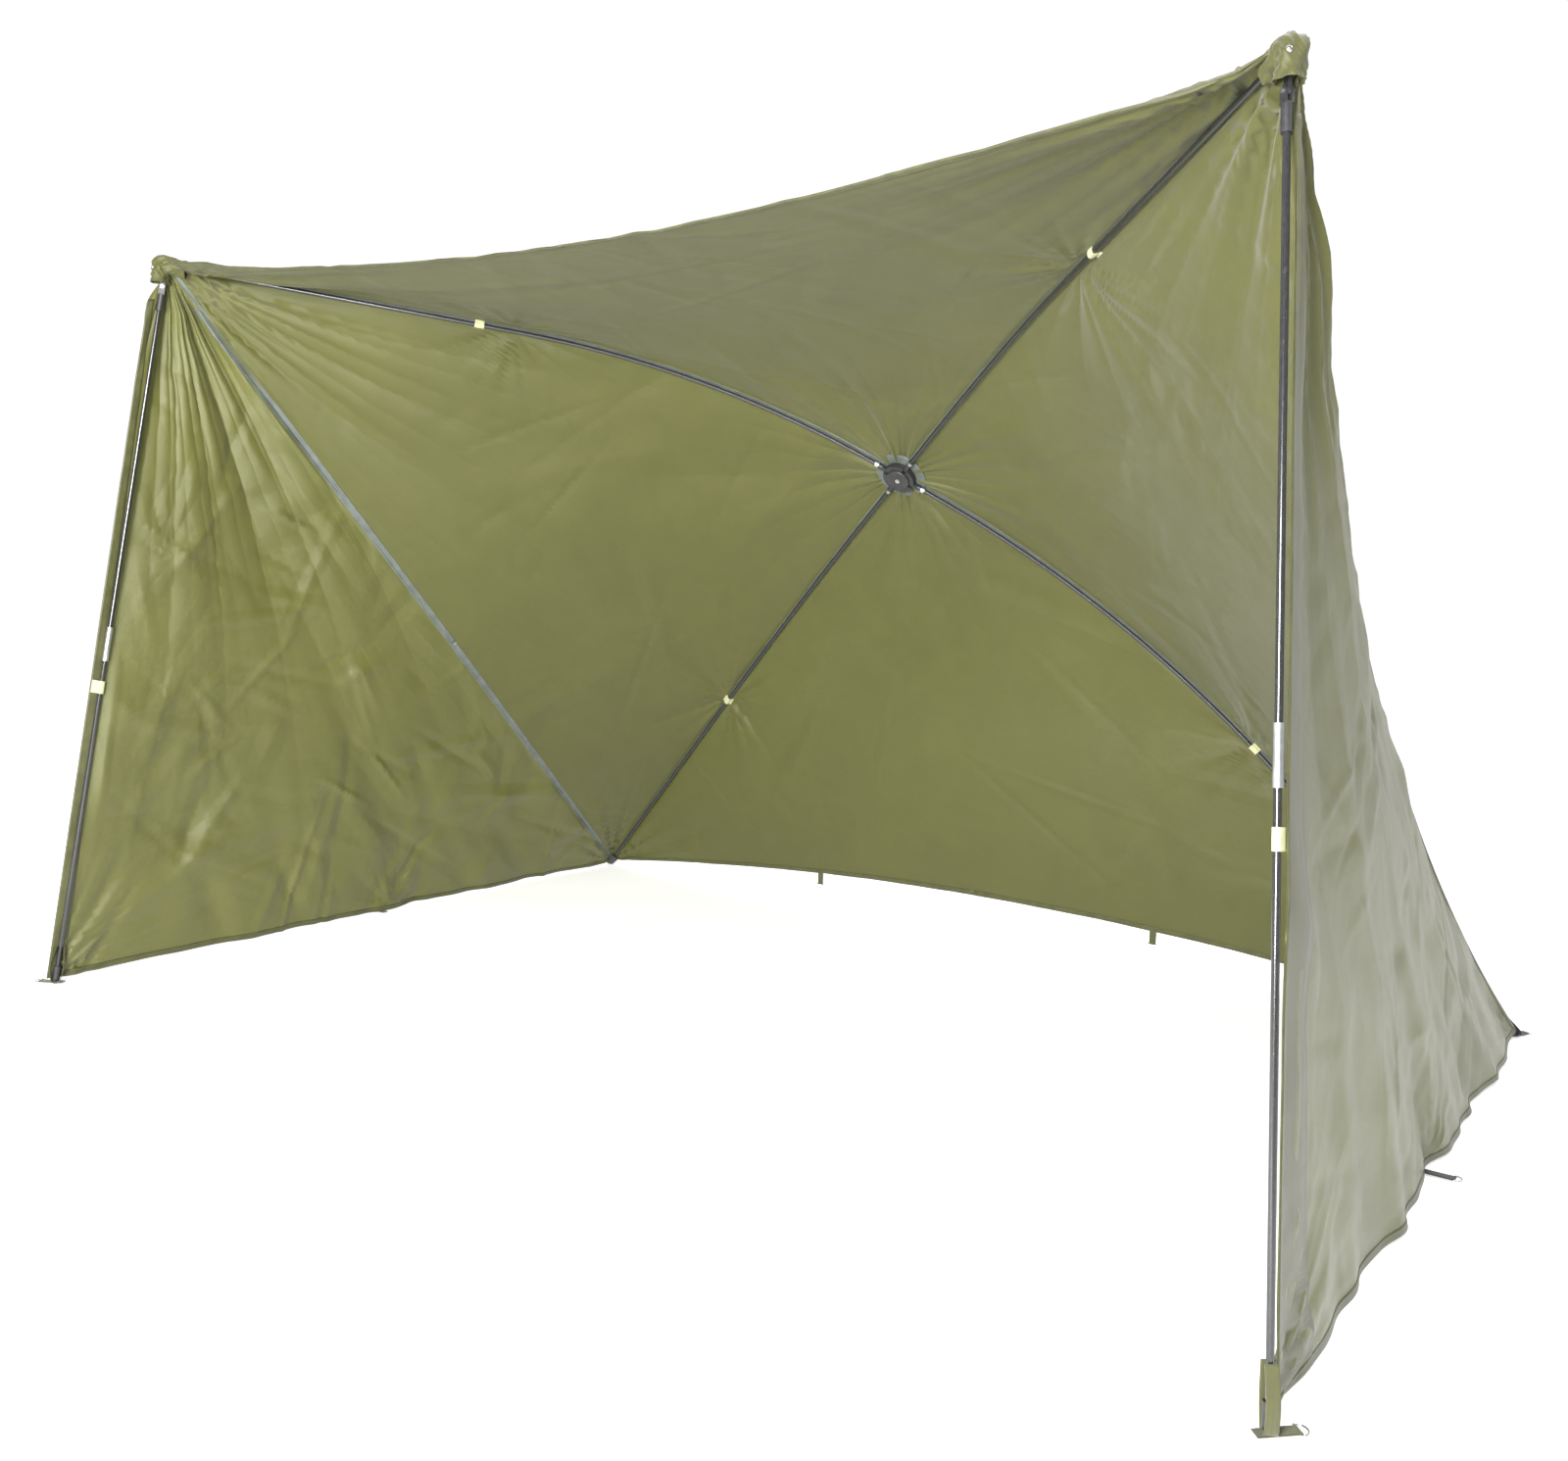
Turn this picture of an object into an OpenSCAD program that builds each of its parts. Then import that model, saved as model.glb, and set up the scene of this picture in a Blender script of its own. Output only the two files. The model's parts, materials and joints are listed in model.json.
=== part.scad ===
// Open-fronted tarp shelter: a four-rib umbrella frame on a tilted hub, two front legs,
// four canopy panels and two side wings.
// Millimetres, +Z up, origin on the ground under the middle of the shelter, open front towards -Y.

/* [Footprint] */
// Distance between the two front feet
foot_w = 2500; // [1800:10:3000]
// Distance between the two rear rib tips
rear_w = 2450; // [1800:10:3000]
// Distance from the front feet back to the rear rib tips
depth = 1652; // [1300:1:2200]
// How far the whole footprint is moved back so that its box is centred on the origin
centre_shift = -8; // [-40:1:40]

/* [Front corners] */
// Distance between the two front corners of the roof
peak_w = 2240; // [1700:10:2800]
// Height of the front corners
peak_h = 1470; // [1150:5:1850]
// How far the front corners stand behind the front feet
peak_back = 196; // [60:1:320]

/* [Crown] */
// Height of the hub above the plane through the four rib tips
crown_rise = 475; // [400:1:580]
// Distance up that plane from the rear tips to the hub
crown_from_rear = 1066; // [900:1:1280]

/* [Ribs] */
// Diameter of the rib rods
rib_d = 9; // [7:0.5:11]
// Angle through which a front rib is bent
front_bend = 24.9; // [21:0.1:30]
// Angle through which a rear rib is bent
rear_bend = 23.7; // [20:0.1:29]
// Radius of the plastic tip on a rear rib
rear_tip_r = 6.5; // [6:0.1:7]
// Distance along a rib from the hub to its webbing tab
rib_tab_at = 960; // [700:5:1100]

/* [Hub] */
// Radius of the hub body
hub_r = 36; // [34:0.5:42]
// Distance from the hub's middle to a rib hinge
hinge_r = 30; // [28:0.5:32]
// Thickness of the hub body on the inner side of the rib hinges
hub_inner = 9; // [8:0.5:10]
// Thickness of the hub body on the outer side of the rib hinges
hub_outer = 5.5; // [5:0.1:6]
// Radius of the round cap on the inner side of the hub
cap_r = 26; // [18:0.5:27]
// Thickness of that cap
cap_t = 4; // [2:0.5:6]
// Diameter of the rib hinge pins and the leg pins
pin_d = 4; // [3:0.5:5]
// Thickness of the flat tongue on each rib root
tongue_t = 8; // [6:0.5:9]
// Height of that tongue
tongue_h = 10; // [9:0.5:11]
// Gap between a tongue and the sides of its slot
slot_clear = 0.4; // [0.3:0.05:0.6]
// Radius of the round socket on each rib root
root_r = 6.2; // [6:0.1:6.5]
// Outer radius of the crimp ring on each rib root
crimp_r = 6.9; // [6.7:0.1:7.1]
// Length of the crimp ring
crimp_l = 8; // [5:0.5:12]
// Radius of the cap screw's head
screw_head_r = 5; // [4:0.5:8]

/* [Legs] */
// Diameter of the leg rods
leg_d = 9; // [7:0.5:11]
// Drop from the rib's end to the leg pin
leg_drop = 43; // [36:1:60]
// Outer diameter of the steel ferrule
ferrule_d = 12; // [11.5:0.1:14]
// Length of the ferrule
ferrule_l = 70; // [50:1:100]
// Length of the lower leg, from the foot to the middle of the ferrule
lower_leg_l = 704; // [550:1:850]
// Distance from the foot to the middle of the leg's webbing tab
leg_tab_at = 614; // [450:1:650]
// Radius of the leg's round foot cap
foot_r = 7.5; // [6:0.5:9]
// Distance from the hub at which the folded foot comes to lie
folded_foot_out = 140; // [130:1:150]
// Distance inside the hub plane at which the folded foot comes to lie
folded_foot_in = 50; // [44:1:56]
// Distance beside the rib at which the folded foot comes to lie
folded_foot_side = 100; // [90:1:115]

/* [Fabric and webbing] */
// Thickness of the canopy sheet
sheet_t = 1.5; // [1:0.1:3]
// Gap from a rib rod out to the middle of the sheet
sheet_gap = 4.7; // [4.5:0.1:6.5]
// Sag of the front edge of the roof
front_sag = 92; // [20:1:160]
// Rise of the back hem between the rear tips
back_rise = 83; // [20:1:160]
// How far the side seam bows in towards the middle
seam_in = 77; // [10:1:140]
// How far the side seam sags
seam_sag = 57; // [10:1:120]
// Thickness of one layer of webbing
web_t = 1.3; // [1:0.1:2]
// Width of the webbing tabs along the rods
web_w = 28; // [20:1:35]
// Width of the peg tabs and the foot straps
peg_web_w = 16; // [12:1:18]
// Length of a peg tab, from the hem to the ring's bar
peg_tab_l = 28; // [20:1:40]
// Distance from the middle of the back hem to each back peg tab
back_tab_at = 465; // [200:5:700]
// Share of a wing's hem, from foot to rear tip, at which its peg tab sits
wing_tab_share = 0.492; // [0.3:0.01:0.7]

/* [Rings] */
// Width of a D-ring, bar to bar centre
ring_w = 21; // [20:0.5:26]
// Diameter of the ring wire
ring_wire_d = 2.4; // [2:0.1:3]

/* [Clearances] */
// Radial gap of a rod, a bar or a pin that turns or slides
run_clear = 0.06; // [0.03:0.01:0.1]
// Gap between neighbouring sheets along their seams
seam_gap = 1.6; // [1:0.1:3]
// Gap between the two leg rods inside the ferrule
rod_gap = 0.4; // [0.3:0.1:1]

/* [Hidden] */
$fn = 48;

olive = [0.30, 0.31, 0.17];
charcoal = [0.08, 0.08, 0.09];
steel = [0.72, 0.73, 0.74];
cream = [0.76, 0.76, 0.58];
dark_web = [0.12, 0.12, 0.08];

rib_r = rib_d / 2;
leg_r = leg_d / 2;
pin_r = pin_d / 2;
wire_r = ring_wire_d / 2;
ring_r = ring_w / 2;
sheet_off = rib_r + sheet_gap;
blend_over = 0.05;
// How far a cutting shape runs past the face it cuts
over = 1;
// Room between a rod and a webbing loop round it
loop_clear = 0.3;
hub_slot_back = 9;
screw_head_t = 2;
screw_slot_w = 1.2;
screw_end = 3;
pin_head_r = pin_r + 1.6;
pin_head_t = 1.4;
cap_floor = 2;
tip_l = 30;

// Driving points of the right-hand side.
strap_r = foot_r + 0.8 + web_t;
front_y = -depth / 2 + centre_shift;
rear_y = depth / 2 + centre_shift;
peak = [peak_w / 2, front_y + peak_back, peak_h];
rear_tip = [rear_w / 2, rear_y, rear_tip_r];
foot = [foot_w / 2, front_y, strap_r];

// The hub's own frame: z along the hub axis, away from the sheltered space.
function unit(v) = v / norm(v);
function lerp(a, b, t) = a + (b - a) * t;
plane_up = unit([0, peak[1] - rear_tip[1], peak[2] - rear_tip[2]]);
hub_axis = [0, plane_up[2], -plane_up[1]];
hub = [0, rear_tip[1], rear_tip[2]] + plane_up * crown_from_rear + hub_axis * crown_rise;
hub_turn = atan2(hub_axis[1], hub_axis[2]);
plane_l = norm([0, peak[1] - rear_tip[1], peak[2] - rear_tip[2]]);
front_run = plane_l - crown_from_rear;
front_azimuth = -atan2(front_run, peak[0]);
rear_azimuth = atan2(crown_from_rear, rear_tip[0]);
front_reach = norm([peak[0], front_run]);
rear_reach = norm([rear_tip[0], crown_from_rear]);

// Rib roots: tongue, socket, and the place where the bend starts.
socket_from = hinge_r + 14;
root_l = socket_from + 18;
rod_from = socket_from + 4;

// A rib runs straight through its root, then round an arc, then straight on to its tip.
function bend_radius(reach, bend) =
    ((reach - root_l) * sin(bend) - crown_rise * cos(bend)) / (1 - cos(bend));
function straight_l(reach, bend) =
    (crown_rise - bend_radius(reach, bend) * (1 - cos(bend))) / sin(bend);
function arc_l(reach, bend) = bend_radius(reach, bend) * bend * PI / 180;
function rib_l(reach, bend) = root_l + arc_l(reach, bend) + straight_l(reach, bend);

// Point [x, z] in the rib's own plane, a distance d along it and off outside its centre line.
function along_bend(reach, bend, turned, off) =
    let (r = bend_radius(reach, bend))
    [root_l + (r + off) * sin(turned), -r + (r + off) * cos(turned)];
function in_rib_plane(reach, bend, d, off) =
    let (past = d - root_l, a = arc_l(reach, bend))
    past <= 0 ? [d, off]
    : past <= a ? along_bend(reach, bend, bend * past / a, off)
    : along_bend(reach, bend, bend, off) + (past - a) * [cos(bend), -sin(bend)];

// The same point in the shelter's frame; side is 1 on the right and -1 on the left.
function from_hub(v) =
    hub + [v[0], v[1] * cos(hub_turn) + v[2] * sin(hub_turn),
        v[2] * cos(hub_turn) - v[1] * sin(hub_turn)];
function rib_point(azimuth, reach, bend, side, d, off) =
    let (p = in_rib_plane(reach, bend, d, off))
    from_hub([side * p[0] * cos(azimuth), p[0] * sin(azimuth), p[1]]);
function front_point(side, share, off) =
    rib_point(front_azimuth, front_reach, front_bend, side,
        share * rib_l(front_reach, front_bend), off);
function rear_point(side, share, off) =
    rib_point(rear_azimuth, rear_reach, rear_bend, side,
        share * rib_l(rear_reach, rear_bend), off);

// Leg hinge: the leg turns about one axis from its foot on the ground to its place under the rib.
leg_top = peak - [0, 0, leg_drop];
leg_l = norm(foot - leg_top);
leg_down = unit(foot - leg_top);
beside_rib = from_hub([-sin(front_azimuth), cos(front_azimuth), 0]) - hub;
folded_foot = rib_point(front_azimuth, front_reach, front_bend, 1, folded_foot_out, -folded_foot_in)
    + folded_foot_side * beside_rib;
leg_folded = unit(folded_foot - leg_top);
leg_axis = unit(cross(leg_down, leg_folded));
leg_turn = acos(leg_down * leg_folded);
leg_side = cross(leg_axis, -leg_down);

fork_from = 14;
fork_to = 48;
fork_r = leg_r + 2.3;
fork_wall = 3;
tang_t = 4.4;
tang_w = 12;
ear_gap = 0.3;
leg_rod_from = 20;
ferrule_mid = leg_l - lower_leg_l;
cap_l = 26;
strap_l = 60;
tab_r = rib_r + 0.3 + web_t;
eye_r = wire_r + run_clear + web_t;

module in_hub() { translate(hub) rotate([-hub_turn, 0, 0]) children(); }
module on_rib(azimuth) { in_hub() rotate([0, 0, azimuth]) children(); }
module left() { mirror([1, 0, 0]) children(); }

// Moves a child so that its own axes lie along x, y and z at point o.
module placed(o, x, y, z) {
    multmatrix([[x[0], y[0], z[0], o[0]], [x[1], y[1], z[1], o[1]],
        [x[2], y[2], z[2], o[2]], [0, 0, 0, 1]]) children();
}
module on_leg() { placed(leg_top, leg_side, leg_axis, -leg_down) children(); }

// Puts a child at distance d along a rib, with its x axis along the rod.
module at_rib(azimuth, reach, bend, d) {
    past = d - root_l;
    turned = past <= 0 ? 0 : bend * min(1, past / arc_l(reach, bend));
    p = in_rib_plane(reach, bend, d, 0);
    on_rib(azimuth) translate([p[0], 0, p[1]]) rotate([0, turned, 0]) children();
}

module hub_body() {
    color(charcoal) in_hub() difference() {
        translate([0, 0, -hub_inner]) cylinder(r = hub_r, h = hub_inner + hub_outer, $fn = 96);
        for (azimuth = [front_azimuth, rear_azimuth, 180 - front_azimuth, 180 - rear_azimuth])
            rotate([0, 0, azimuth]) {
                translate([hinge_r - hub_slot_back, -tongue_t / 2 - slot_clear, -hub_inner - over])
                    cube([hub_r, tongue_t + 2 * slot_clear, hub_inner + hub_outer + 2 * over]);
                translate([hinge_r, 0, 0]) rotate([90, 0, 0])
                    cylinder(r = pin_r, h = hub_r, center = true);
            }
        translate([0, 0, -hub_inner - over]) cylinder(r = pin_r, h = hub_inner - over);
    }
}

module hub_cap() {
    color(charcoal) in_hub() translate([0, 0, -hub_inner - cap_t]) difference() {
        union() {
            cylinder(r1 = cap_r - 1, r2 = cap_r, h = 1, $fn = 96);
            translate([0, 0, 1]) cylinder(r = cap_r, h = cap_t - 1, $fn = 96);
        }
        translate([0, 0, -over]) cylinder(r = pin_r, h = cap_t + 2 * over);
    }
}

module hub_screw() {
    color(steel) in_hub() translate([0, 0, -hub_inner - cap_t]) {
        difference() {
            translate([0, 0, -screw_head_t]) cylinder(r = screw_head_r, h = screw_head_t);
            translate([-screw_head_r, -screw_slot_w / 2, -screw_head_t - over])
                cube([2 * screw_head_r, screw_slot_w, 2 * over]);
        }
        cylinder(r = pin_r, h = cap_t + hub_inner - screw_end);
    }
}

module hub_pins() {
    pin_l = 2 * (tongue_t / 2 + slot_clear + 5);
    color(steel) in_hub()
        for (azimuth = [front_azimuth, rear_azimuth, 180 - front_azimuth, 180 - rear_azimuth])
            rotate([0, 0, azimuth]) translate([hinge_r, 0, 0]) rotate([90, 0, 0])
                cylinder(r = pin_r, h = pin_l, center = true);
}

// Rod of one rib, from inside its root to its tip.
module rib(azimuth, reach, bend) {
    r = bend_radius(reach, bend);
    color(charcoal) on_rib(azimuth) {
        translate([rod_from, 0, 0]) rotate([0, 90, 0]) cylinder(r = rib_r, h = root_l - rod_from);
        translate([root_l, 0, -r]) rotate([90, 0, 0]) rotate([0, 0, 90 - bend])
            rotate_extrude(angle = bend) translate([r, 0]) circle(r = rib_r);
        translate([root_l + r * sin(bend), 0, -r + r * cos(bend)]) rotate([0, 90 + bend, 0])
            cylinder(r = rib_r, h = straight_l(reach, bend));
        for (turned = [0, bend])
            translate([root_l + r * sin(turned), 0, -r + r * cos(turned)]) rotate([0, 90 + turned, 0])
                sphere(r = rib_r + blend_over);
    }
}

module root(azimuth) {
    color(charcoal) on_rib(azimuth) difference() {
        union() {
            translate([hinge_r, -tongue_t / 2, -tongue_h / 2])
                cube([socket_from + 1 - hinge_r, tongue_t, tongue_h]);
            translate([hinge_r, 0, 0]) rotate([90, 0, 0])
                cylinder(r = tongue_h / 2, h = tongue_t, center = true);
            translate([socket_from, 0, 0]) rotate([0, 90, 0])
                cylinder(r = root_r, h = root_l - socket_from);
        }
        translate([hinge_r, 0, 0]) rotate([90, 0, 0])
            cylinder(r = pin_r + run_clear, h = tongue_t + 2 * over, center = true);
        translate([rod_from, 0, 0]) rotate([0, 90, 0]) cylinder(r = rib_r, h = root_l);
    }
}

module crimp(azimuth) {
    color(steel) on_rib(azimuth) translate([root_l - crimp_l - 1, 0, 0]) rotate([0, 90, 0])
        difference() {
            cylinder(r = crimp_r, h = crimp_l);
            translate([0, 0, -over]) cylinder(r = root_r, h = crimp_l + 2 * over);
        }
}

// Webbing loop that holds the canopy to a rib.
module rib_tab(azimuth, reach, bend) {
    color(cream) at_rib(azimuth, reach, bend, rib_tab_at)
        translate([-web_w / 2, 0, 0]) rotate([0, 90, 0]) difference() {
            cylinder(r = tab_r, h = web_w);
            translate([0, 0, -over]) cylinder(r = rib_r + loop_clear, h = web_w + 2 * over);
        }
}

// Socket on the end of a front rib, with the flat tang that carries the leg.
module corner_bracket() {
    socket_l = 34;
    socket_r = rib_r + 1.9;
    tang_up = peak - leg_top;
    tang_in = 1.5;
    tang_side = tang_w / 2 - 0.05;
    color(charcoal) difference() {
        union() {
            at_rib(front_azimuth, front_reach, front_bend, rib_l(front_reach, front_bend))
                translate([-socket_l, 0, 0]) rotate([0, 90, 0]) cylinder(r = socket_r, h = socket_l + 3);
            on_leg() rotate([90, 0, 0]) linear_extrude(tang_t, center = true) union() {
                circle(r = tang_w / 2);
                rotate(-atan2(tang_up * leg_side, -tang_up * leg_down))
                    translate([-tang_side, 0]) square([2 * tang_side, leg_drop + tang_in]);
            }
        }
        at_rib(front_azimuth, front_reach, front_bend, rib_l(front_reach, front_bend))
            translate([-socket_l - over, 0, 0]) rotate([0, 90, 0]) cylinder(r = rib_r, h = socket_l + over);
        on_leg() rotate([90, 0, 0]) cylinder(r = pin_r, h = tang_t + 20, center = true);
    }
}

module leg_pin() {
    reach = tang_t / 2 + ear_gap + fork_wall;
    color(steel) on_leg() rotate([90, 0, 0]) {
        cylinder(r = pin_r, h = 2 * reach + over, center = true);
        for (end = [-1, 1])
            translate([0, 0, end * (reach + over)]) cylinder(r = pin_head_r, h = pin_head_t, center = true);
    }
}

module leg_fork() {
    color(charcoal) on_leg() difference() {
        union() {
            translate([0, 0, -fork_to]) cylinder(r = fork_r, h = fork_to - fork_from);
            for (end = [-1, 1]) {
                y = end * (tang_t / 2 + ear_gap + fork_wall / 2);
                translate([-tang_w / 2, y - fork_wall / 2, -fork_from - 2])
                    cube([tang_w, fork_wall, fork_from + 2]);
                translate([0, y, 0]) rotate([90, 0, 0])
                    cylinder(r = tang_w / 2, h = fork_wall, center = true);
            }
        }
        rotate([90, 0, 0]) cylinder(r = pin_r + run_clear, h = 40, center = true);
        translate([0, 0, -fork_to - over]) cylinder(r = leg_r, h = fork_to + over - leg_rod_from);
    }
}

module leg_upper() {
    bottom = ferrule_mid - rod_gap / 2;
    color(charcoal) on_leg() translate([0, 0, -bottom]) cylinder(r = leg_r, h = bottom - leg_rod_from);
}

module ferrule() {
    color(steel) on_leg() translate([0, 0, -ferrule_mid - ferrule_l / 2]) difference() {
        cylinder(r = ferrule_d / 2, h = ferrule_l);
        translate([0, 0, -over]) cylinder(r = leg_r + run_clear, h = ferrule_l + 2 * over);
    }
}

// Webbing loop that holds the wing's edge to the leg.
module leg_tab() {
    color(cream) on_leg() translate([0, 0, -leg_l + leg_tab_at - web_w / 2])
        linear_extrude(web_w) difference() {
            union() {
                circle(r = leg_r + loop_clear + web_t);
                rotate(wing_side) translate([leg_r, -web_t]) square([wing_edge_gap - leg_r, 2 * web_t]);
            }
            circle(r = leg_r + loop_clear);
        }
}

module leg_lower() {
    top = ferrule_mid + rod_gap / 2;
    color(charcoal) on_leg() translate([0, 0, -leg_l + cap_floor])
        cylinder(r = leg_r, h = leg_l - cap_floor - top);
}

module foot_cap() {
    color(charcoal) on_leg() translate([0, 0, -leg_l]) difference() {
        union() {
            sphere(r = foot_r);
            cylinder(r = foot_r, h = cap_l);
        }
        translate([0, 0, cap_floor]) cylinder(r = leg_r, h = cap_l);
    }
}

// Webbing loop under the foot, level across its width; its tail carries the peg ring.
strap_across = unit(cross([0, 0, 1], leg_down));
strap_turn = atan2(strap_across * leg_axis, strap_across * leg_side) - 90;
tail_from = 5.5;
module foot_strap(turn) {
    color(olive) {
        on_leg() translate([0, 0, -leg_l]) rotate([0, 0, strap_turn]) rotate([90, 0, 0])
            linear_extrude(peg_web_w, center = true) difference() {
                union() {
                    circle(r = strap_r);
                    translate([-strap_r, 0]) square([2 * strap_r, strap_l]);
                }
                circle(r = strap_r - web_t);
                translate([web_t - strap_r, 0]) square([2 * (strap_r - web_t), strap_l + 1]);
            }
        at_foot(turn) peg_tab();
    }
}

// Frame of a foot's ring: x points away from the foot, y along the ring's bar.
module at_foot(turn) {
    translate([foot[0], foot[1], eye_r]) rotate([0, 0, turn]) translate([tail_from, 0, 0]) children();
}
rear_corner_turn = 62;
rear_tab_out = rear_tip_r + 0.2;
module at_rear_corner() {
    translate([rear_tip[0], rear_tip[1], eye_r]) rotate([0, 0, rear_corner_turn])
        translate([rear_tab_out, 0, 0]) children();
}

// Doubled webbing from x = 0 out to the eye round a ring's bar.
module peg_tab() {
    translate([0, peg_web_w / 2, 0]) rotate([90, 0, 0]) linear_extrude(peg_web_w) difference() {
        union() {
            translate([0, -web_t]) square([peg_tab_l, 2 * web_t]);
            translate([peg_tab_l, 0]) circle(r = eye_r);
        }
        translate([peg_tab_l, 0]) circle(r = wire_r + run_clear);
    }
}

// D-ring: a straight bar through the tab's eye and a half-round bow.
module peg_ring() {
    translate([peg_tab_l, 0, 0]) {
        rotate([90, 0, 0]) cylinder(r = wire_r, h = ring_w, center = true);
        for (end = [-1, 1]) translate([0, end * ring_r, 0]) sphere(r = wire_r);
        rotate([0, 0, -90]) rotate_extrude(angle = 180) translate([ring_r, 0]) circle(r = wire_r);
    }
}

module rear_tip() {
    color(charcoal) at_rib(rear_azimuth, rear_reach, rear_bend, rib_l(rear_reach, rear_bend))
        difference() {
            union() {
                sphere(r = rear_tip_r);
                translate([-tip_l, 0, 0]) rotate([0, 90, 0]) cylinder(r = rear_tip_r, h = tip_l);
            }
            translate([-tip_l - over, 0, 0]) rotate([0, 90, 0]) cylinder(r = rib_r, h = tip_l + over);
        }
}

// Canopy sheets. Each sheet is a grid of points, thickened along its own mean normal.
rows = 12;
cols = 12;
function seam_bow(side) = [-side * seam_in, 0, -seam_sag];
function seam_point(side, t) =
    lerp(front_point(side, 1, sheet_off), rear_point(side, 1, sheet_off), t)
    + seam_bow(side) * 4 * t * (1 - t);
function gap_share(a, b) = min(0.4, seam_gap / 2 / norm(b - a));
function bowed(a, b, u, v, bow) =
    let (g = gap_share(a, b), t = g + (1 - 2 * g) * v)
    lerp(a, b, t) + bow * 4 * t * (1 - t) * pow(u, 3);
first_share = 0.012;
function share_at(i) = first_share + (1 - first_share) * i / rows;
roof_grid = [for (i = [0:rows]) let (u = share_at(i)) [for (j = [0:cols])
    bowed(front_point(1, u, sheet_off), front_point(-1, u, sheet_off), u, j / cols, [0, 0, -front_sag])]];
back_grid = [for (i = [0:rows]) let (u = share_at(i)) [for (j = [0:cols])
    bowed(rear_point(-1, u, sheet_off), rear_point(1, u, sheet_off), u, j / cols, [0, 0, back_rise])]];
function side_grid(side) = [for (i = [0:rows]) let (u = share_at(i)) [for (j = [0:cols])
    bowed(rear_point(side, u, sheet_off), front_point(side, u, sheet_off), u, j / cols, seam_bow(side))]];

// A wing fans out from the front corner, from the seam on its rear side to the leg on its front side.
wing_edge_gap = 14;
wing_side = atan2(([0, 1, 0] * leg_axis), ([0, 1, 0] * leg_side));
hem_drop = 5;
wing_out = 3;
function hem_point(side, t) =
    let (rear = rear_point(side, 1, sheet_off) + [side * sheet_off, 0, 0],
        toe = [side * foot[0], foot[1] + wing_edge_gap, rear[2]])
    lerp(rear, toe, t) - [0, 0, hem_drop] * 4 * t * (1 - t);
function wing_point(side, p, t) =
    let (top = front_point(side, 1, sheet_off) + [side * wing_out, wing_edge_gap * t, -wing_out])
    lerp(top, hem_point(side, t), p) + seam_bow(side) * 4 * p * (1 - p) * pow(1 - t, 2);
wing_top = 0.045;
function wing_grid(side) = [for (i = [0:rows]) [for (j = [0:cols])
    wing_point(side, wing_top + (1 - wing_top) * i / rows, j / cols)]];

// Closed solid of a grid of points: two skins sheet_t apart and the strip round their edge.
module sheet(grid) {
    n = len(grid) - 1;
    m = len(grid[0]) - 1;
    w = m + 1;
    normal = unit(cross(grid[n][m] - grid[0][0], grid[n][0] - grid[0][m]));
    upper = [for (row = grid) for (p = row) p + normal * sheet_t / 2];
    lower = [for (row = grid) for (p = row) p - normal * sheet_t / 2];
    k = len(upper);
    top_faces = [for (i = [0:n - 1]) for (j = [0:m - 1]) let (a = i * w + j)
        each [[a, a + 1, a + w + 1], [a, a + w + 1, a + w]]];
    low_faces = [for (f = top_faces) [f[2] + k, f[1] + k, f[0] + k]];
    rim = concat([for (j = [0:m]) j], [for (i = [1:n]) i * w + m],
        [for (j = [m - 1:-1:0]) n * w + j], [for (i = [n - 1:-1:1]) i * w]);
    rim_faces = [for (i = [0:len(rim) - 1]) let (a = rim[i], b = rim[(i + 1) % len(rim)])
        each [[b, a, a + k], [b, a + k, b + k]]];
    polyhedron(concat(upper, lower), concat(top_faces, low_faces, rim_faces), convexity = 4);
}

module roof_panel() { color(olive) sheet(roof_grid); }
module back_panel() { color(olive) sheet(back_grid); }
module right_panel() { color(olive) sheet(side_grid(1)); }
module left_panel() { color(olive) sheet([for (row = side_grid(-1)) [for (j = [cols:-1:0]) row[j]]]); }
module right_wing() { color(olive) sheet(wing_grid(1)); }
module left_wing() { color(olive) sheet([for (row = wing_grid(-1)) [for (j = [cols:-1:0]) row[j]]]); }

// Peg tabs that hang from the back hem, and those that lie out from the wings' hems.
module at_back_hem(side) {
    t = 0.5 + side * back_tab_at / rear_w;
    hem = lerp(rear_point(-1, 1, sheet_off), rear_point(1, 1, sheet_off), t)
        + [0, 0, back_rise] * 4 * t * (1 - t);
    translate(hem - [0, 0, sheet_t]) rotate([0, 90, 90]) children();
}
module at_wing_hem() {
    p = hem_point(1, 1 - wing_tab_share);
    translate([p[0] + sheet_t, p[1], eye_r]) children();
}

module wing_tabs() { color(dark_web) { at_wing_hem() peg_tab(); left() at_wing_hem() peg_tab(); } }
module wing_rings() { color(steel) { at_wing_hem() peg_ring(); left() at_wing_hem() peg_ring(); } }
module back_tabs() { color(olive) for (side = [-1, 1]) at_back_hem(side) peg_tab(); }
module back_rings() { color(steel) for (side = [-1, 1]) at_back_hem(side) peg_ring(); }
module corner_tab() { color(charcoal) at_rear_corner() peg_tab(); }
module corner_ring() { color(steel) at_rear_corner() peg_ring(); }

right_strap_turn = 45;
left_strap_turn = -30;
module foot_ring(turn) { color(steel) at_foot(turn) peg_ring(); }

hub_body();
hub_cap();
hub_screw();
hub_pins();
left() rib(front_azimuth, front_reach, front_bend);  // rib_front_left
rib(front_azimuth, front_reach, front_bend);  // rib_front_right
left() rib(rear_azimuth, rear_reach, rear_bend);  // rib_rear_left
rib(rear_azimuth, rear_reach, rear_bend);  // rib_rear_right
left() root(front_azimuth);  // root_front_left
root(front_azimuth);  // root_front_right
left() root(rear_azimuth);  // root_rear_left
root(rear_azimuth);  // root_rear_right
left() crimp(front_azimuth);  // crimp_front_left
crimp(front_azimuth);  // crimp_front_right
left() crimp(rear_azimuth);  // crimp_rear_left
crimp(rear_azimuth);  // crimp_rear_right
left() rib_tab(front_azimuth, front_reach, front_bend);  // rib_tab_front_left
rib_tab(front_azimuth, front_reach, front_bend);  // rib_tab_front_right
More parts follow.
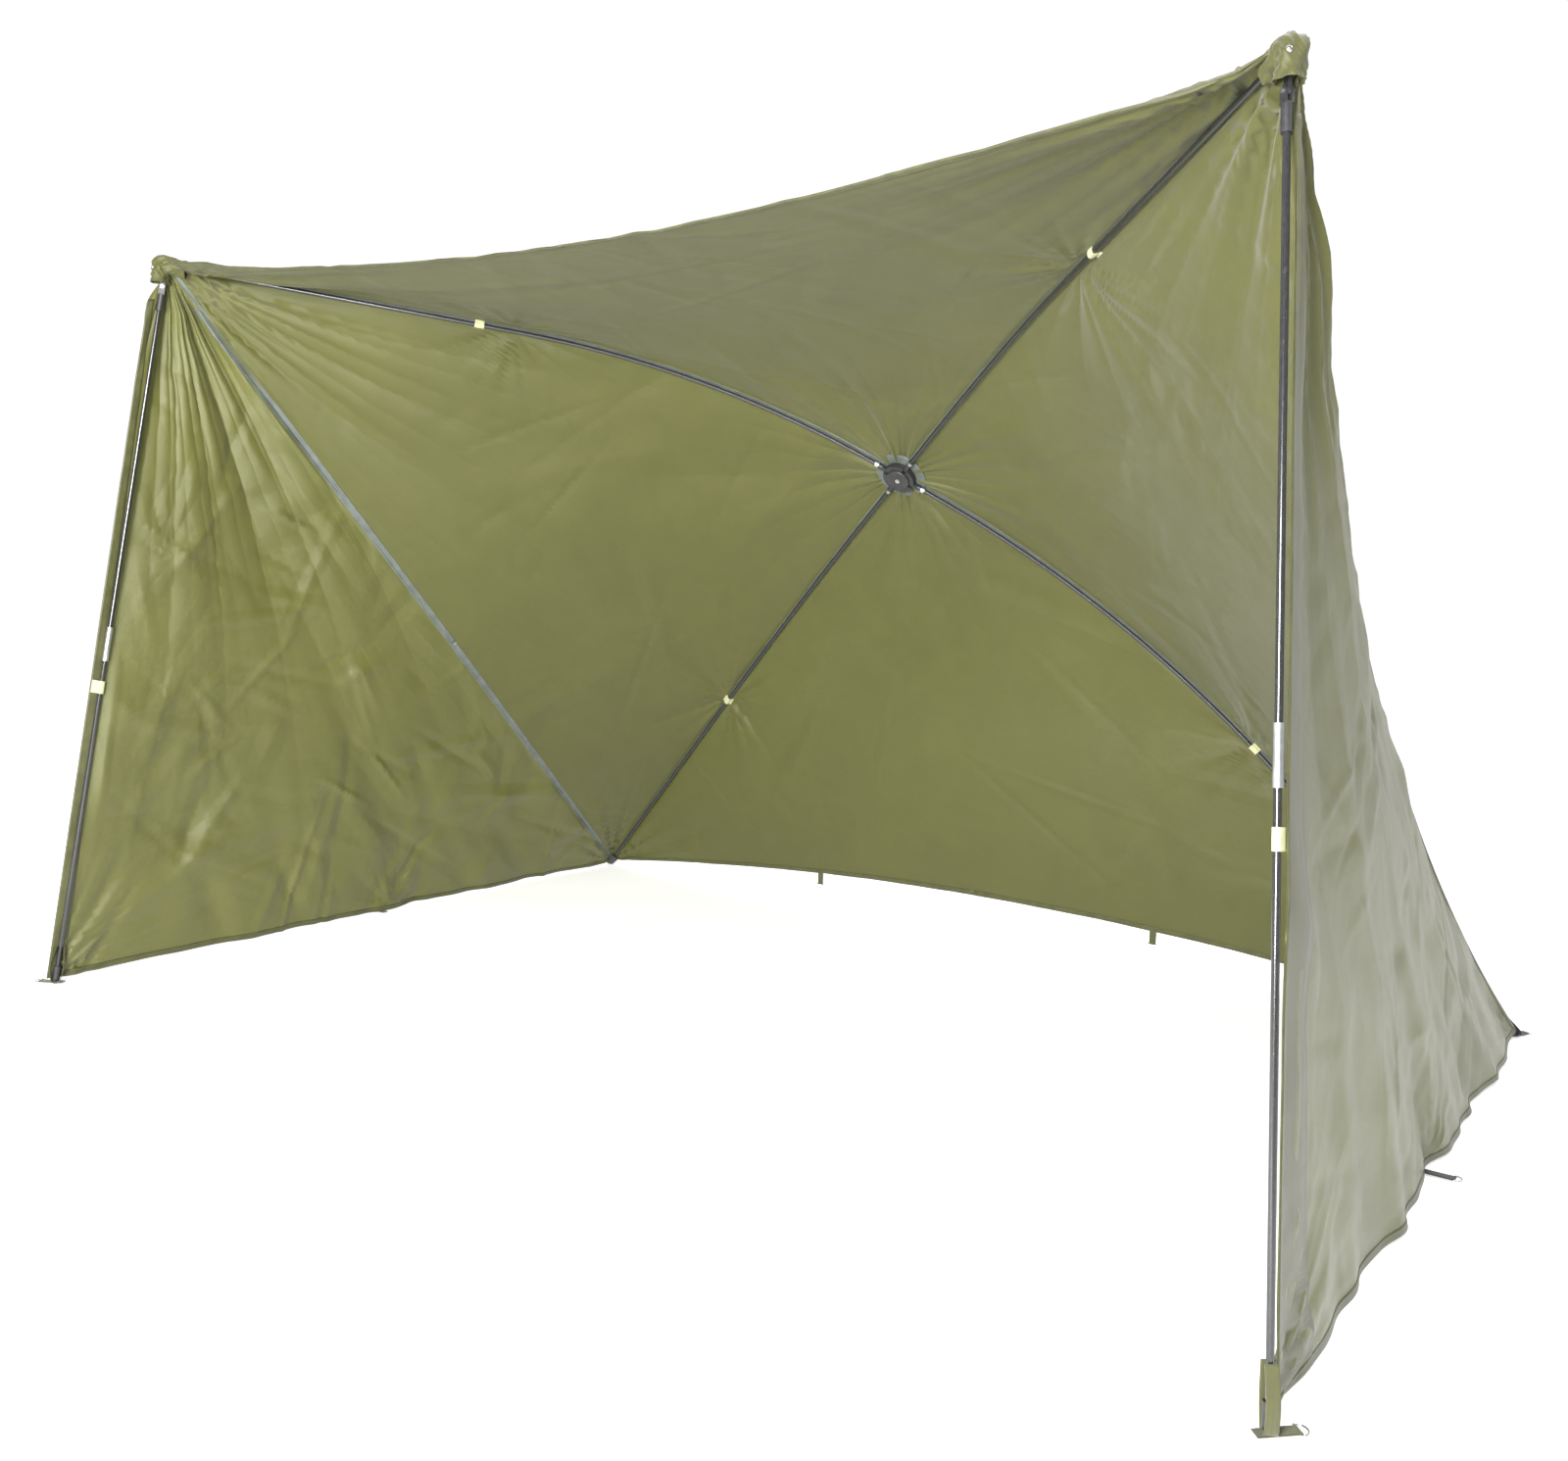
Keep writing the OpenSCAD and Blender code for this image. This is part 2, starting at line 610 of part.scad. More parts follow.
left() rib_tab(rear_azimuth, rear_reach, rear_bend);  // rib_tab_rear_left
rib_tab(rear_azimuth, rear_reach, rear_bend);  // rib_tab_rear_right
left() corner_bracket();  // corner_bracket_left
corner_bracket();  // corner_bracket_right
left() leg_pin();  // leg_pin_left
leg_pin();  // leg_pin_right
left() rear_tip();  // rear_tip_left
rear_tip();  // rear_tip_right
left() leg_fork();  // leg_fork_left
leg_fork();  // leg_fork_right
left() leg_upper();  // leg_upper_left
leg_upper();  // leg_upper_right
left() ferrule();  // ferrule_left
ferrule();  // ferrule_right
left() leg_tab();  // leg_tab_left
leg_tab();  // leg_tab_right
left() leg_lower();  // leg_lower_left
leg_lower();  // leg_lower_right
left() foot_cap();  // foot_cap_left
foot_cap();  // foot_cap_right
left() foot_strap(left_strap_turn);  // foot_strap_left
foot_strap(right_strap_turn);  // foot_strap_right
left() foot_ring(left_strap_turn);  // foot_ring_left
foot_ring(right_strap_turn);  // foot_ring_right
left() corner_tab();  // corner_tab_left
corner_tab();  // corner_tab_right
left() corner_ring();  // corner_ring_left
corner_ring();  // corner_ring_right
wing_tabs();
wing_rings();
back_tabs();
back_rings();
roof_panel();
left_panel();
right_panel();
back_panel();
left_wing();
right_wing();
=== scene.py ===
"""Tarp shelter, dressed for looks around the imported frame.

Metres, +Z up, open front towards -Y. The frame's joints and nodes give the hub, the ribs and the
legs. The cloth, webbing, hoods and hems are made here and ride on the same bodies.
"""
import json
import logging
import math
from collections.abc import Callable, Sequence
from dataclasses import dataclass, field
from enum import Enum

import bmesh
import bpy
import numpy as np
from mathutils import Matrix, Vector


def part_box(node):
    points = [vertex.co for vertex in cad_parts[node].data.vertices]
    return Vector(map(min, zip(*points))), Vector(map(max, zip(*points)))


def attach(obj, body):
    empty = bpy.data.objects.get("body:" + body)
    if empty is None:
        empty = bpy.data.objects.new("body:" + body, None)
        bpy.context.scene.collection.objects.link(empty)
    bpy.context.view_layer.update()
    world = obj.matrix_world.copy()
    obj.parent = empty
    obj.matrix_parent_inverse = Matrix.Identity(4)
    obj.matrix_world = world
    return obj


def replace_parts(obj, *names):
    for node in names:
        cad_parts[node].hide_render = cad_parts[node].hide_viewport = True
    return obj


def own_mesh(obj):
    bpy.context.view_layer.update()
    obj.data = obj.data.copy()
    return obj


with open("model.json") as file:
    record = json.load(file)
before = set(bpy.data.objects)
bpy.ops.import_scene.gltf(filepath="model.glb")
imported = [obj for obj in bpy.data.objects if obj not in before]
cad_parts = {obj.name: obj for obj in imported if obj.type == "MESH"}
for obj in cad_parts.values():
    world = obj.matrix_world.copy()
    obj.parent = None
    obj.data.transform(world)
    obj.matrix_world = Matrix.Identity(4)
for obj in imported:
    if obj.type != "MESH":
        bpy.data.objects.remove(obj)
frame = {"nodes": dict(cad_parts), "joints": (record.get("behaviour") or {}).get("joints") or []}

LOG = logging.getLogger("tarp_shelter")
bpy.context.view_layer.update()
MM = 0.001
Array = np.ndarray


class Side(Enum):
    """Side of the shelter, seen from its open front."""

    LEFT = -1
    RIGHT = 1

    @property
    def word(self) -> str:
        """The side's name in lower case."""
        return self.name.lower()


class End(Enum):
    """Which pair of ribs a rib belongs to."""

    FRONT = "front"
    REAR = "rear"


def unit(v: Array) -> Array:
    """The vector, or each vector of a list, at length 1."""
    v = np.asarray(v, float)
    return v / np.maximum(np.linalg.norm(v, axis=-1, keepdims=True), 1e-12)


def smoothstep(x: Array) -> Array:
    """Eased 0 to 1 ramp of x, clipped at both ends."""
    x = np.clip(x, 0.0, 1.0)
    return x * x * (3 - 2 * x)


# ---------------------------------------------------------------- the frame's own lines


def joint(name: str) -> dict:
    """The frame's joint of that name."""
    return next(j for j in frame["joints"] if j["name"] == name)


FOLD_JOINTS = {
    (End.FRONT, Side.LEFT): "frame_fold",
    (End.FRONT, Side.RIGHT): "front_right_rib_fold",
    (End.REAR, Side.LEFT): "rear_left_rib_fold",
    (End.REAR, Side.RIGHT): "rear_right_rib_fold",
}


@dataclass(frozen=True)
class Rib:
    """Centre line of one bent rib, from the hub's middle to the rib's tip."""

    end: End
    side: Side
    hub: Array
    out: Array
    up: Array
    across: Array
    tip: Array
    bend: float
    root: float = 62 * MM

    @property
    def reach(self) -> float:
        """Distance from hub to tip in the hub's plane."""
        return float((self.tip - self.hub) @ self.out)

    @property
    def rise(self) -> float:
        """Height of the hub over the tip, along the hub's axis."""
        return float((self.hub - self.tip) @ self.up)

    @property
    def radius(self) -> float:
        """Bend radius of the centre line."""
        flat = (self.reach - self.root) * math.sin(self.bend) - self.rise * math.cos(self.bend)
        return flat / (1 - math.cos(self.bend))

    @property
    def straight(self) -> float:
        """Length of the straight stretch beyond the bend."""
        return (self.rise - self.radius * (1 - math.cos(self.bend))) / math.sin(self.bend)

    @property
    def length(self) -> float:
        """Length of the centre line."""
        return self.root + self.radius * self.bend + self.straight

    @property
    def body(self) -> str:
        """Name of the body that the rib belongs to."""
        return f"rib_{self.end.value}_{self.side.word}"

    def at(self, share: Array, off: float = 0.0) -> Array:
        """Points on the rib.

        Args:
            share: Distance from the hub as a share of the rib's length.
            off: Distance outside the centre line, away from the sheltered space.

        Returns:
            The points, one row each.
        """
        d = np.asarray(share, float) * self.length
        arc = self.radius * self.bend
        turned = np.clip(d - self.root, 0, arc) / self.radius
        past = np.clip(d - self.root - arc, 0, None)
        x = np.minimum(d, self.root) + (self.radius + off) * np.sin(turned) + past * np.cos(turned)
        z = -self.radius + (self.radius + off) * np.cos(turned) - past * np.sin(turned)
        return self.hub + x[..., None] * self.out + z[..., None] * self.up

    def tangent(self, share: float) -> Array:
        """Unit direction of the rib at that share, towards its tip."""
        return unit(self.at(np.array(share + 0.002)) - self.at(np.array(share - 0.002)))


@dataclass(frozen=True)
class Skeleton:
    """The lines that everything is hung from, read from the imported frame."""

    hinge_r: float = 30 * MM
    leg_drop: float = 43 * MM
    rear_tip_r: float = 6.5 * MM
    foot_r: float = 7.5 * MM
    bends: tuple[float, float] = (24.9, 23.7)

    def hub_axis(self) -> Array:
        """Unit vector along the hub's axis, away from the sheltered space."""
        front = np.array(joint("front_right_rib_fold")["axis"])
        rear = np.array(joint("rear_right_rib_fold")["axis"])
        return unit(np.cross(front, rear))

    def peak(self, side: Side) -> Array:
        """End of a front rib."""
        return np.array(joint(f"leg_fold_{side.word}")["pos_m"]) + np.array([0, 0, self.leg_drop])

    def leg_top(self, side: Side) -> Array:
        """Middle of a leg's hinge pin."""
        return np.array(joint(f"leg_fold_{side.word}")["pos_m"])

    def foot(self, side: Side) -> Array:
        """Lower end of a leg's centre line."""
        low, high = (np.array(c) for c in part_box(f"foot_cap_{side.word}"))
        x = high[0] - self.foot_r if side is Side.RIGHT else low[0] + self.foot_r
        return np.array([x, low[1] + self.foot_r, low[2] + self.foot_r])

    def rear_tip(self, side: Side) -> Array:
        """End of a rear rib."""
        low, high = (np.array(c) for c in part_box(f"rear_tip_{side.word}"))
        x = high[0] - self.rear_tip_r if side is Side.RIGHT else low[0] + self.rear_tip_r
        return np.array([x, high[1] - self.rear_tip_r, low[2] + self.rear_tip_r])

    def rib(self, end: End, side: Side) -> Rib:
        """The centre line of one rib."""
        hinge = joint(FOLD_JOINTS[end, side])
        across, up = np.array(hinge["axis"]), self.hub_axis()
        out = unit(np.cross(across, up))
        tip = self.peak(side) if end is End.FRONT else self.rear_tip(side)
        bend = math.radians(self.bends[0] if end is End.FRONT else self.bends[1])
        return Rib(end, side, np.array(hinge["pos_m"]) - self.hinge_r * out, out, up, across, tip, bend)


# ---------------------------------------------------------------- how pieces follow the frame


@dataclass(frozen=True)
class Carrier:
    """The body that a piece rides on, with a fold joint, axis, anchor and keep that are stored but not used
    to gather the piece.
    """

    body: str
    joint: str | None = None
    axis: tuple[float, float, float] = (0, 0, 1)
    anchor: tuple[float, float, float] = (0, 0, 0)
    keep: float = 0.06

    def carry(self, piece: bpy.types.Object) -> bpy.types.Object:
        """Makes the piece ride, and gives it its own copy of its mesh where a joint is named."""
        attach(piece, self.body)
        if self.joint:
            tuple(self.axis)
            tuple(self.anchor)
            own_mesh(piece)
        return piece


def rib_carrier(rib: Rib) -> Carrier:
    """Carrier for cloth that is tied to a rib, with the rib's fold joint, its axis and the hub stored."""
    return Carrier(rib.body, FOLD_JOINTS[rib.end, rib.side], tuple(rib.across), tuple(rib.hub))


# ---------------------------------------------------------------- shader building


class Sock:
    """A shader socket or a number with ordinary arithmetic."""

    def __init__(self, shader: "Shader", value: object) -> None:
        """Keeps the shader that new nodes go into, and the socket or number."""
        self.shader, self.value = shader, value

    def _do(self, operation: str, *others: object, swap: bool = False) -> "Sock":
        """A Math node on this socket and the others."""
        values = [self, *others][::-1] if swap else [self, *others]
        return self.shader.node("ShaderNodeMath", {"operation": operation}, dict(enumerate(values)))

    def __add__(self, other: object) -> "Sock":
        """Sum."""
        return self._do("ADD", other)

    def __sub__(self, other: object) -> "Sock":
        """Difference."""
        return self._do("SUBTRACT", other)

    def __rsub__(self, other: object) -> "Sock":
        """Reflected difference."""
        return self._do("SUBTRACT", other, swap=True)

    def __mul__(self, other: object) -> "Sock":
        """Product."""
        return self._do("MULTIPLY", other)

    def __truediv__(self, other: object) -> "Sock":
        """Quotient."""
        return self._do("DIVIDE", other)

    __radd__ = __add__
    __rmul__ = __mul__

    def sin(self) -> "Sock":
        """Sine of an angle in radians."""
        return self._do("SINE")

    def frac(self) -> "Sock":
        """Fractional part."""
        return self._do("FRACT")

    def abs(self) -> "Sock":
        """Magnitude."""
        return self._do("ABSOLUTE")

    def at_most(self, other: object) -> "Sock":
        """The smaller of the two."""
        return self._do("MINIMUM", other)

    def at_least(self, other: object) -> "Sock":
        """The larger of the two."""
        return self._do("MAXIMUM", other)

    def ramp(self, low: float, high: float) -> "Sock":
        """0 to 1 as this goes from low to high."""
        values = {"Value": self, "From Min": low, "From Max": high}
        return self.shader.node("ShaderNodeMapRange", {"interpolation_type": "SMOOTHSTEP"}, values)


class Shader:
    """Node tree of one material."""

    def __init__(self, name: str) -> None:
        """Starts a material with an empty tree."""
        self.material = bpy.data.materials.new(name)
        self._start(self.material)

    def _start(self, owner: bpy.types.Material | bpy.types.World) -> None:
        """Gives the owner an empty tree to build in."""
        owner.use_nodes = True
        self.tree = owner.node_tree
        self.tree.nodes.clear()

    def node(self, kind: str, settings: dict, inputs: dict, output: int | str = 0) -> Sock:
        """Adds a node.

        Args:
            kind: Blender's name for the node type.
            settings: Properties to set first.
            inputs: Socket name or number to a number, tuple or Sock.
            output: Which output comes back.

        Returns:
            The chosen output.
        """
        made = self.tree.nodes.new(kind)
        for key, value in settings.items():
            setattr(made, key, value)
        for key, value in inputs.items():
            value = value.value if isinstance(value, Sock) else value
            if isinstance(value, bpy.types.NodeSocket):
                self.tree.links.new(value, made.inputs[key])
            else:
                made.inputs[key].default_value = value
        return Sock(self, made.outputs[output] if made.outputs else made)

    def place(self) -> Sock:
        """Object coordinates."""
        return self.node("ShaderNodeTexCoord", {}, {}, "Object")

    def uv(self) -> tuple[Sock, Sock]:
        """The piece's own map, in metres across and along."""
        both = self.node("ShaderNodeUVMap", {"uv_map": "cloth"}, {})
        split = self.node("ShaderNodeSeparateXYZ", {}, {0: both})
        return split, Sock(self, split.value.node.outputs[1])

    def noise(self, at: Sock, scale: float, detail: float = 3.0, rough: float = 0.55) -> Sock:
        """Fractal noise from 0 to 1 at that many waves a metre."""
        values = {"Vector": at, "Scale": scale, "Detail": detail, "Roughness": rough}
        return self.node("ShaderNodeTexNoise", {}, values, "Fac")

    def stretched(self, at: Sock, scale: tuple[float, float, float]) -> Sock:
        """Coordinates scaled by a different amount along each axis."""
        return self.node("ShaderNodeMapping", {}, {"Vector": at, "Scale": scale})

    def mix(self, share: object, low: object, high: object) -> Sock:
        """Colour between low and high."""
        made = self.tree.nodes.new("ShaderNodeMix")
        made.data_type = "RGBA"
        for key, value in ((0, share), (6, low), (7, high)):
            value = value.value if isinstance(value, Sock) else value
            if isinstance(value, bpy.types.NodeSocket):
                self.tree.links.new(value, made.inputs[key])
            else:
                made.inputs[key].default_value = value if key == 0 else (*value[:3], 1.0)
        return Sock(self, made.outputs[2])

    def finish(self, height: Sock | None, depth: float, inputs: dict) -> bpy.types.Material:
        """Closes the tree with a Principled shader.

        Args:
            height: Relief in units of depth, or None.
            depth: Height of the relief in metres.
            inputs: Inputs of the shader.

        Returns:
            The material.
        """
        if height is not None:
            values = {"Height": height, "Distance": depth, "Strength": 1.0}
            inputs = inputs | {"Normal": self.node("ShaderNodeBump", {}, values)}
        shader = self.node("ShaderNodeBsdfPrincipled", {}, inputs)
        self.node("ShaderNodeOutputMaterial", {}, {"Surface": shader})
        return self.material


class SurroundShader(Shader):
    """Node tree of the world around the object."""

    def __init__(self, world: bpy.types.World) -> None:
        """Starts the world with an empty tree."""
        self._start(world)

    def graded(self, toward: tuple[float, float, float], dots: tuple[float, float],
               shades: tuple[float, float], strength: float) -> None:
        """Grades the surround from one grey to another.

        Args:
            toward: Direction in which it is lightest.
            dots: Where the grading starts and ends, as products with that direction.
            shades: Grey levels at the start and the end.
            strength: Strength of the whole surround.
        """
        where = self.node("ShaderNodeTexCoord", {}, {}, "Generated")
        dot = self.node("ShaderNodeVectorMath", {"operation": "DOT_PRODUCT"}, {0: where, 1: toward}, "Value")
        values = {"Value": dot, "From Min": dots[0], "From Max": dots[1]}
        share = self.node("ShaderNodeMapRange", {}, values)
        low, high = ((grey, grey, grey) for grey in shades)
        colour = self.mix(share, low, high)
        sky = self.node("ShaderNodeBackground", {}, {"Color": colour, "Strength": strength})
        self.node("ShaderNodeOutputWorld", {}, {"Surface": sky})


Colour = tuple[float, float, float]


def tint(colour: Colour, by: float) -> Colour:
    """The colour made lighter or darker by a factor."""
    return tuple(min(1.0, c * by) for c in colour)


@dataclass(frozen=True)
class CoatedCloth:
    """Plain-woven polyester with a thin coating: satin, faintly creased, with dust and wear, and with
    painted shade that darkens the colour in the crease hollows.
    """

    name: str
    colour: Colour
    rough: float = 0.46
    gloss: float = 0.36
    thread: float = 0.55 * MM

    def material(self) -> bpy.types.Material:
        """Builds the material."""
        s = Shader(self.name)
        at, (u, v) = s.place(), s.uv()
        broad, fine = s.noise(at, 1.7, 4), s.noise(at, 260.0, 2)
        creased = s.noise(at, 16.0, 6, 0.62)
        warp = (u * (math.tau / self.thread)).sin() * 0.5 + 0.5
        weft = (v * (math.tau / self.thread)).sin() * 0.5 + 0.5
        weave = warp * 0.5 + weft * 0.5
        slub = s.noise(s.stretched(at, (1.0, 1.0, 14.0)), 60.0, 2)
        # The creased noise also raises the bump, so its part of the colour makes the crease hollows darker:
        # painted shade. The broad, fine and slub noise are random tone.
        share = (broad * 0.55 + creased * 0.2 + fine * 0.15 + slub * 0.1).ramp(0.3, 0.72)
        base = s.mix(share, tint(self.colour, 0.86), tint(self.colour, 1.13))
        rough = creased * 0.16 + broad * 0.08 + (self.rough - 0.12)
        height = creased * 0.72 + weave * 0.05 + fine * 0.05
        return s.finish(height, 2.2 * MM, {
            "Base Color": base, "Roughness": rough, "Sheen Weight": 0.12, "Sheen Roughness": 0.45,
            "Specular IOR Level": self.gloss})


@dataclass(frozen=True)
class Webbing:
    """Flat woven webbing with a ribbed weave."""

    name: str
    colour: Colour
    rib: float = 1.5 * MM

    def material(self) -> bpy.types.Material:
        """Builds the material."""
        s = Shader(self.name)
        at, (u, v) = s.place(), s.uv()
        zig = ((u / (4 * self.rib)).frac() - 0.5).abs() * 2.0
        lines = ((v / self.rib + zig).frac() - 0.5).abs() * 2.0
        cords = ((u / self.rib).frac() - 0.5).abs() * 2.0
        worn = s.noise(at, 90.0, 4)
        # The lines also make the weave's relief, so the colour is darker in the weave's grooves: painted
        # shade. The worn noise is real wear.
        share = (lines * 0.5 + worn * 0.5).ramp(0.15, 0.85)
        base = s.mix(share, tint(self.colour, 0.7), tint(self.colour, 1.15))
        return s.finish(lines * 0.6 + cords * 0.4, 0.35 * MM, {
            "Base Color": base, "Roughness": worn * 0.2 + 0.62, "Sheen Weight": 0.25})


@dataclass(frozen=True)
class StitchedTape:
    """Bound or taped edge with two rows of lock stitches."""

    name: str
    colour: Colour
    thread: Colour
    width: float
    rough: float = 0.5
    pitch: float = 3.2 * MM
    rows: tuple[float, float] = (0.2, 0.8)

    def material(self) -> bpy.types.Material:
        """Builds the material."""
        s = Shader(self.name)
        at, (u, v) = s.place(), s.uv()
        worn = s.noise(at, 40.0, 5)
        share = u / self.width
        near = [1.0 - ((share - row).abs() * (self.width / (0.5 * MM))).at_most(1.0) for row in self.rows]
        row = near[0].at_least(near[1])
        dash = (1.0 - ((v / self.pitch).frac() - 0.5).abs() * 2.0).ramp(0.2, 0.45)
        stitch = row * dash
        ground = s.mix(worn.ramp(0.3, 0.7), tint(self.colour, 0.78), tint(self.colour, 1.2))
        base = s.mix(stitch, ground, self.thread)
        pull = 1.0 - row * 0.6
        return s.finish(pull * 0.6 + stitch * 0.5 + worn * 0.2, 0.6 * MM, {
            "Base Color": base, "Roughness": worn * 0.2 + (self.rough - 0.1), "Sheen Weight": 0.1})


@dataclass(frozen=True)
class SatinRod:
    """Dark glass-fibre rod: clear skin over long fibres, lightly scuffed."""

    name: str
    colour: Colour

    def material(self) -> bpy.types.Material:
        """Builds the material."""
        s = Shader(self.name)
        at = s.place()
        fibres, scuffs = s.noise(s.stretched(at, (40, 40, 3)), 22.0, 3), s.noise(at, 55.0, 6, 0.7)
        marks = scuffs.ramp(0.6, 0.75)
        share = fibres.ramp(0.3, 0.7) * 0.6 + marks * 0.4
        base = s.mix(share, tint(self.colour, 0.7), tint(self.colour, 2.2))
        return s.finish(fibres * 0.4 + scuffs * 0.4, 0.08 * MM, {
            "Base Color": base, "Roughness": marks * 0.25 + 0.2, "Coat Weight": 0.5, "Coat Roughness": 0.12})


@dataclass(frozen=True)
class MouldedNylon:
    """Moulded black nylon with a fine spark grain and rubbed patches."""

    name: str
    colour: Colour

    def material(self) -> bpy.types.Material:
        """Builds the material."""
        s = Shader(self.name)
        at = s.place()
        grain, rub = s.noise(at, 1400.0, 2), s.noise(at, 70.0, 5, 0.65)
        base = s.mix(rub.ramp(0.35, 0.75), self.colour, tint(self.colour, 1.9))
        return s.finish(grain, 0.06 * MM, {
            "Base Color": base, "Roughness": rub * 0.25 + 0.32, "Specular IOR Level": 0.5})


@dataclass(frozen=True)
class DrawnSteel:
    """Bright drawn or plated steel with fine draw lines and handling marks."""

    name: str
    colour: Colour
    rough: float = 0.2
    lines: float = 1.0

    def material(self) -> bpy.types.Material:
        """Builds the material."""
        s = Shader(self.name)
        at = s.place()
        drawn, smudge = s.noise(s.stretched(at, (60, 60, 4)), 30.0, 3), s.noise(at, 45.0, 5, 0.6)
        base = s.mix(smudge.ramp(0.35, 0.7), tint(self.colour, 0.78), self.colour)
        rough = smudge * 0.16 + drawn * (0.12 * self.lines) + self.rough
        return s.finish(drawn, 0.03 * MM * self.lines, {
            "Base Color": base, "Metallic": 1.0, "Roughness": rough})


@dataclass(frozen=True)
class Floor:
    """Matt studio floor."""

    name: str = "studio_floor"
    colour: Colour = (0.93, 0.93, 0.93)

    def material(self) -> bpy.types.Material:
        """Builds the material."""
        s = Shader(self.name)
        return s.finish(None, 0.0, {"Base Color": (*self.colour, 1.0), "Roughness": 0.9,
                                    "Emission Color": (1, 1, 1, 1), "Emission Strength": 0.4})


OLIVE = (0.070, 0.072, 0.0165)
CLOTH = CoatedCloth("olive_cloth", OLIVE)
# Wing cloth is the canopy's olive made 1.25 times lighter, which is painted light on the wings; its lower
# roughness and higher gloss are the cloth's real finish.
GLOSSY_LIT_WING_CLOTH = CoatedCloth("olive_wing_cloth", tint(OLIVE, 1.25), rough=0.35, gloss=0.45)
HOOD_CLOTH = CoatedCloth("olive_hood_cloth", tint(OLIVE, 0.8), rough=0.5)
HEM = StitchedTape("olive_hem", tint(OLIVE, 0.7), tint(OLIVE, 0.9), 12 * MM)
TAPE = StitchedTape("grey_seam_tape", (0.075, 0.088, 0.08), (0.26, 0.27, 0.22), 10 * MM, rough=0.4)
BINDING = StitchedTape("olive_seam_binding", tint(OLIVE, 0.7), tint(OLIVE, 1.2), 16 * MM)
CREAM_WEB = Webbing("cream_webbing", (0.44, 0.44, 0.24))
OLIVE_WEB = Webbing("olive_webbing", tint(OLIVE, 0.8))
BLACK_WEB = Webbing("black_webbing", (0.016, 0.016, 0.013))
ROD = SatinRod("charcoal_rod", (0.014, 0.014, 0.015))
NYLON = MouldedNylon("black_nylon", (0.016, 0.016, 0.017))
STEEL = DrawnSteel("drawn_steel", (0.66, 0.67, 0.68))
RING_STEEL = DrawnSteel("plated_ring_steel", (0.72, 0.72, 0.73), rough=0.12, lines=0.3)

_made: dict[str, bpy.types.Material] = {}


def dressed(finish: object) -> bpy.types.Material:
    """The finish's material, built once."""
    if finish.name not in _made:
        _made[finish.name] = finish.material()
    return _made[finish.name]


# ---------------------------------------------------------------- mesh helpers


def grid(points: Array) -> bmesh.types.BMesh:
    """A grid whose corners are moved onto points.

    Args:
        points: Rows by columns by 3.

    Returns:
        The grid, with layers "along" and "across" from 0 to 1.
    """
    rows, cols = points.shape[0] - 1, points.shape[1] - 1
    bm = bmesh.new()
    bmesh.ops.create_grid(bm, x_segments=cols, y_segments=rows, size=0.5)
    along, across = bm.verts.layers.float.new("along"), bm.verts.layers.float.new("across")
    for vert in bm.verts:
        vert[along], vert[across] = vert.co.y + 0.5, vert.co.x + 0.5
        vert.co = points[round(vert[along] * rows), round(vert[across] * cols)]
    return bm


def thicken(bm: bmesh.types.BMesh, thickness: float) -> None:
    """Gives an open sheet its thickness and turns its faces outwards."""
    bm.normal_update()
    bmesh.ops.solidify(bm, geom=bm.faces[:], thickness=thickness)
    bmesh.ops.recalc_face_normals(bm, faces=bm.faces[:])


def grid_shares(mesh: bpy.types.Mesh) -> tuple[Array, Array]:
    """Each vertex's shares across and along the grid that the mesh was made from."""
    shares = []
    for key in ("across", "along"):
        values = np.zeros(len(mesh.vertices), np.float32)
        mesh.attributes[key].data.foreach_get("value", values)
        shares.append(values)
    return shares[0], shares[1]


def face_away(bm: bmesh.types.BMesh, outward: Array) -> None:
    """Turns all faces of an open sheet so that their mean normal points outward."""
    bm.normal_update()
    mean = sum((f.normal * f.calc_area() for f in bm.faces), Vector())
    if mean.dot(Vector(outward)) < 0:
        bmesh.ops.reverse_faces(bm, faces=bm.faces[:])


def add_piece(name: str, bm: bmesh.types.BMesh, finish: object, slot: str, carrier: Carrier | None = None,
              size: tuple[float, float] | None = None) -> bpy.types.Object:
    """Makes an object of a mesh, maps it, dresses it and hands it to its carrier.

    Args:
        name: Name of the piece.
        bm: The mesh, which is used up.
        finish: Its finish.
        slot: The record's material slot; not used.
        carrier: What it rides on, or None.
        size: Width across and length along in metres, for a piece made from a grid.

    Returns:
        The object.
    """
    mesh = bpy.data.meshes.new(name)
    bm.to_mesh(mesh)
    bm.free()
    mesh.shade_smooth()
    if size:
        corner = np.zeros(len(mesh.loops), np.int32)
        mesh.loops.foreach_get("vertex_index", corner)
        uv = np.stack([share[corner] * metres for share, metres in zip(grid_shares(mesh), size)], axis=1)
        mesh.uv_layers.new(name="cloth").data.foreach_set("uv", uv.astype(np.float32).ravel())
    piece = bpy.data.objects.new(name, mesh)
    bpy.context.scene.collection.objects.link(piece)
    mesh.materials.append(dressed(finish))
    if carrier:
        carrier.carry(piece)
    LOG.info("%s: %d faces", name, len(mesh.polygons))
    return piece


def ribbon(name: str, points: Array, thickness: float, finish: object, slot: str, carrier: Carrier,
           outward: Array | None = None) -> bpy.types.Object:
    """Makes a strip of webbing or tape with thickness from a grid of points.

    Args:
        name: Name of the piece.
        points: Rows by columns by 3, kept clear of the ground.
        thickness: Its thickness.
        finish: Its finish.
        slot: The record's material slot.
        carrier: What it rides on.
        outward: Side that it faces, or None for the grid's own.

    Returns:
        The piece.
    """
    points = points.copy()
    points[..., 2] = np.maximum(points[..., 2], thickness + 0.3 * MM)
    bm = grid(points)
    if outward is not None:
        face_away(bm, outward)
    thicken(bm, thickness)
    middle = points[:, points.shape[1] // 2]
    length = float(np.linalg.norm(np.diff(middle, axis=0), axis=1).sum())
    row = points[points.shape[0] // 2]
    width = float(np.linalg.norm(np.diff(row, axis=0), axis=1).sum())
    return add_piece(name, bm, finish, slot, carrier, (width, length))


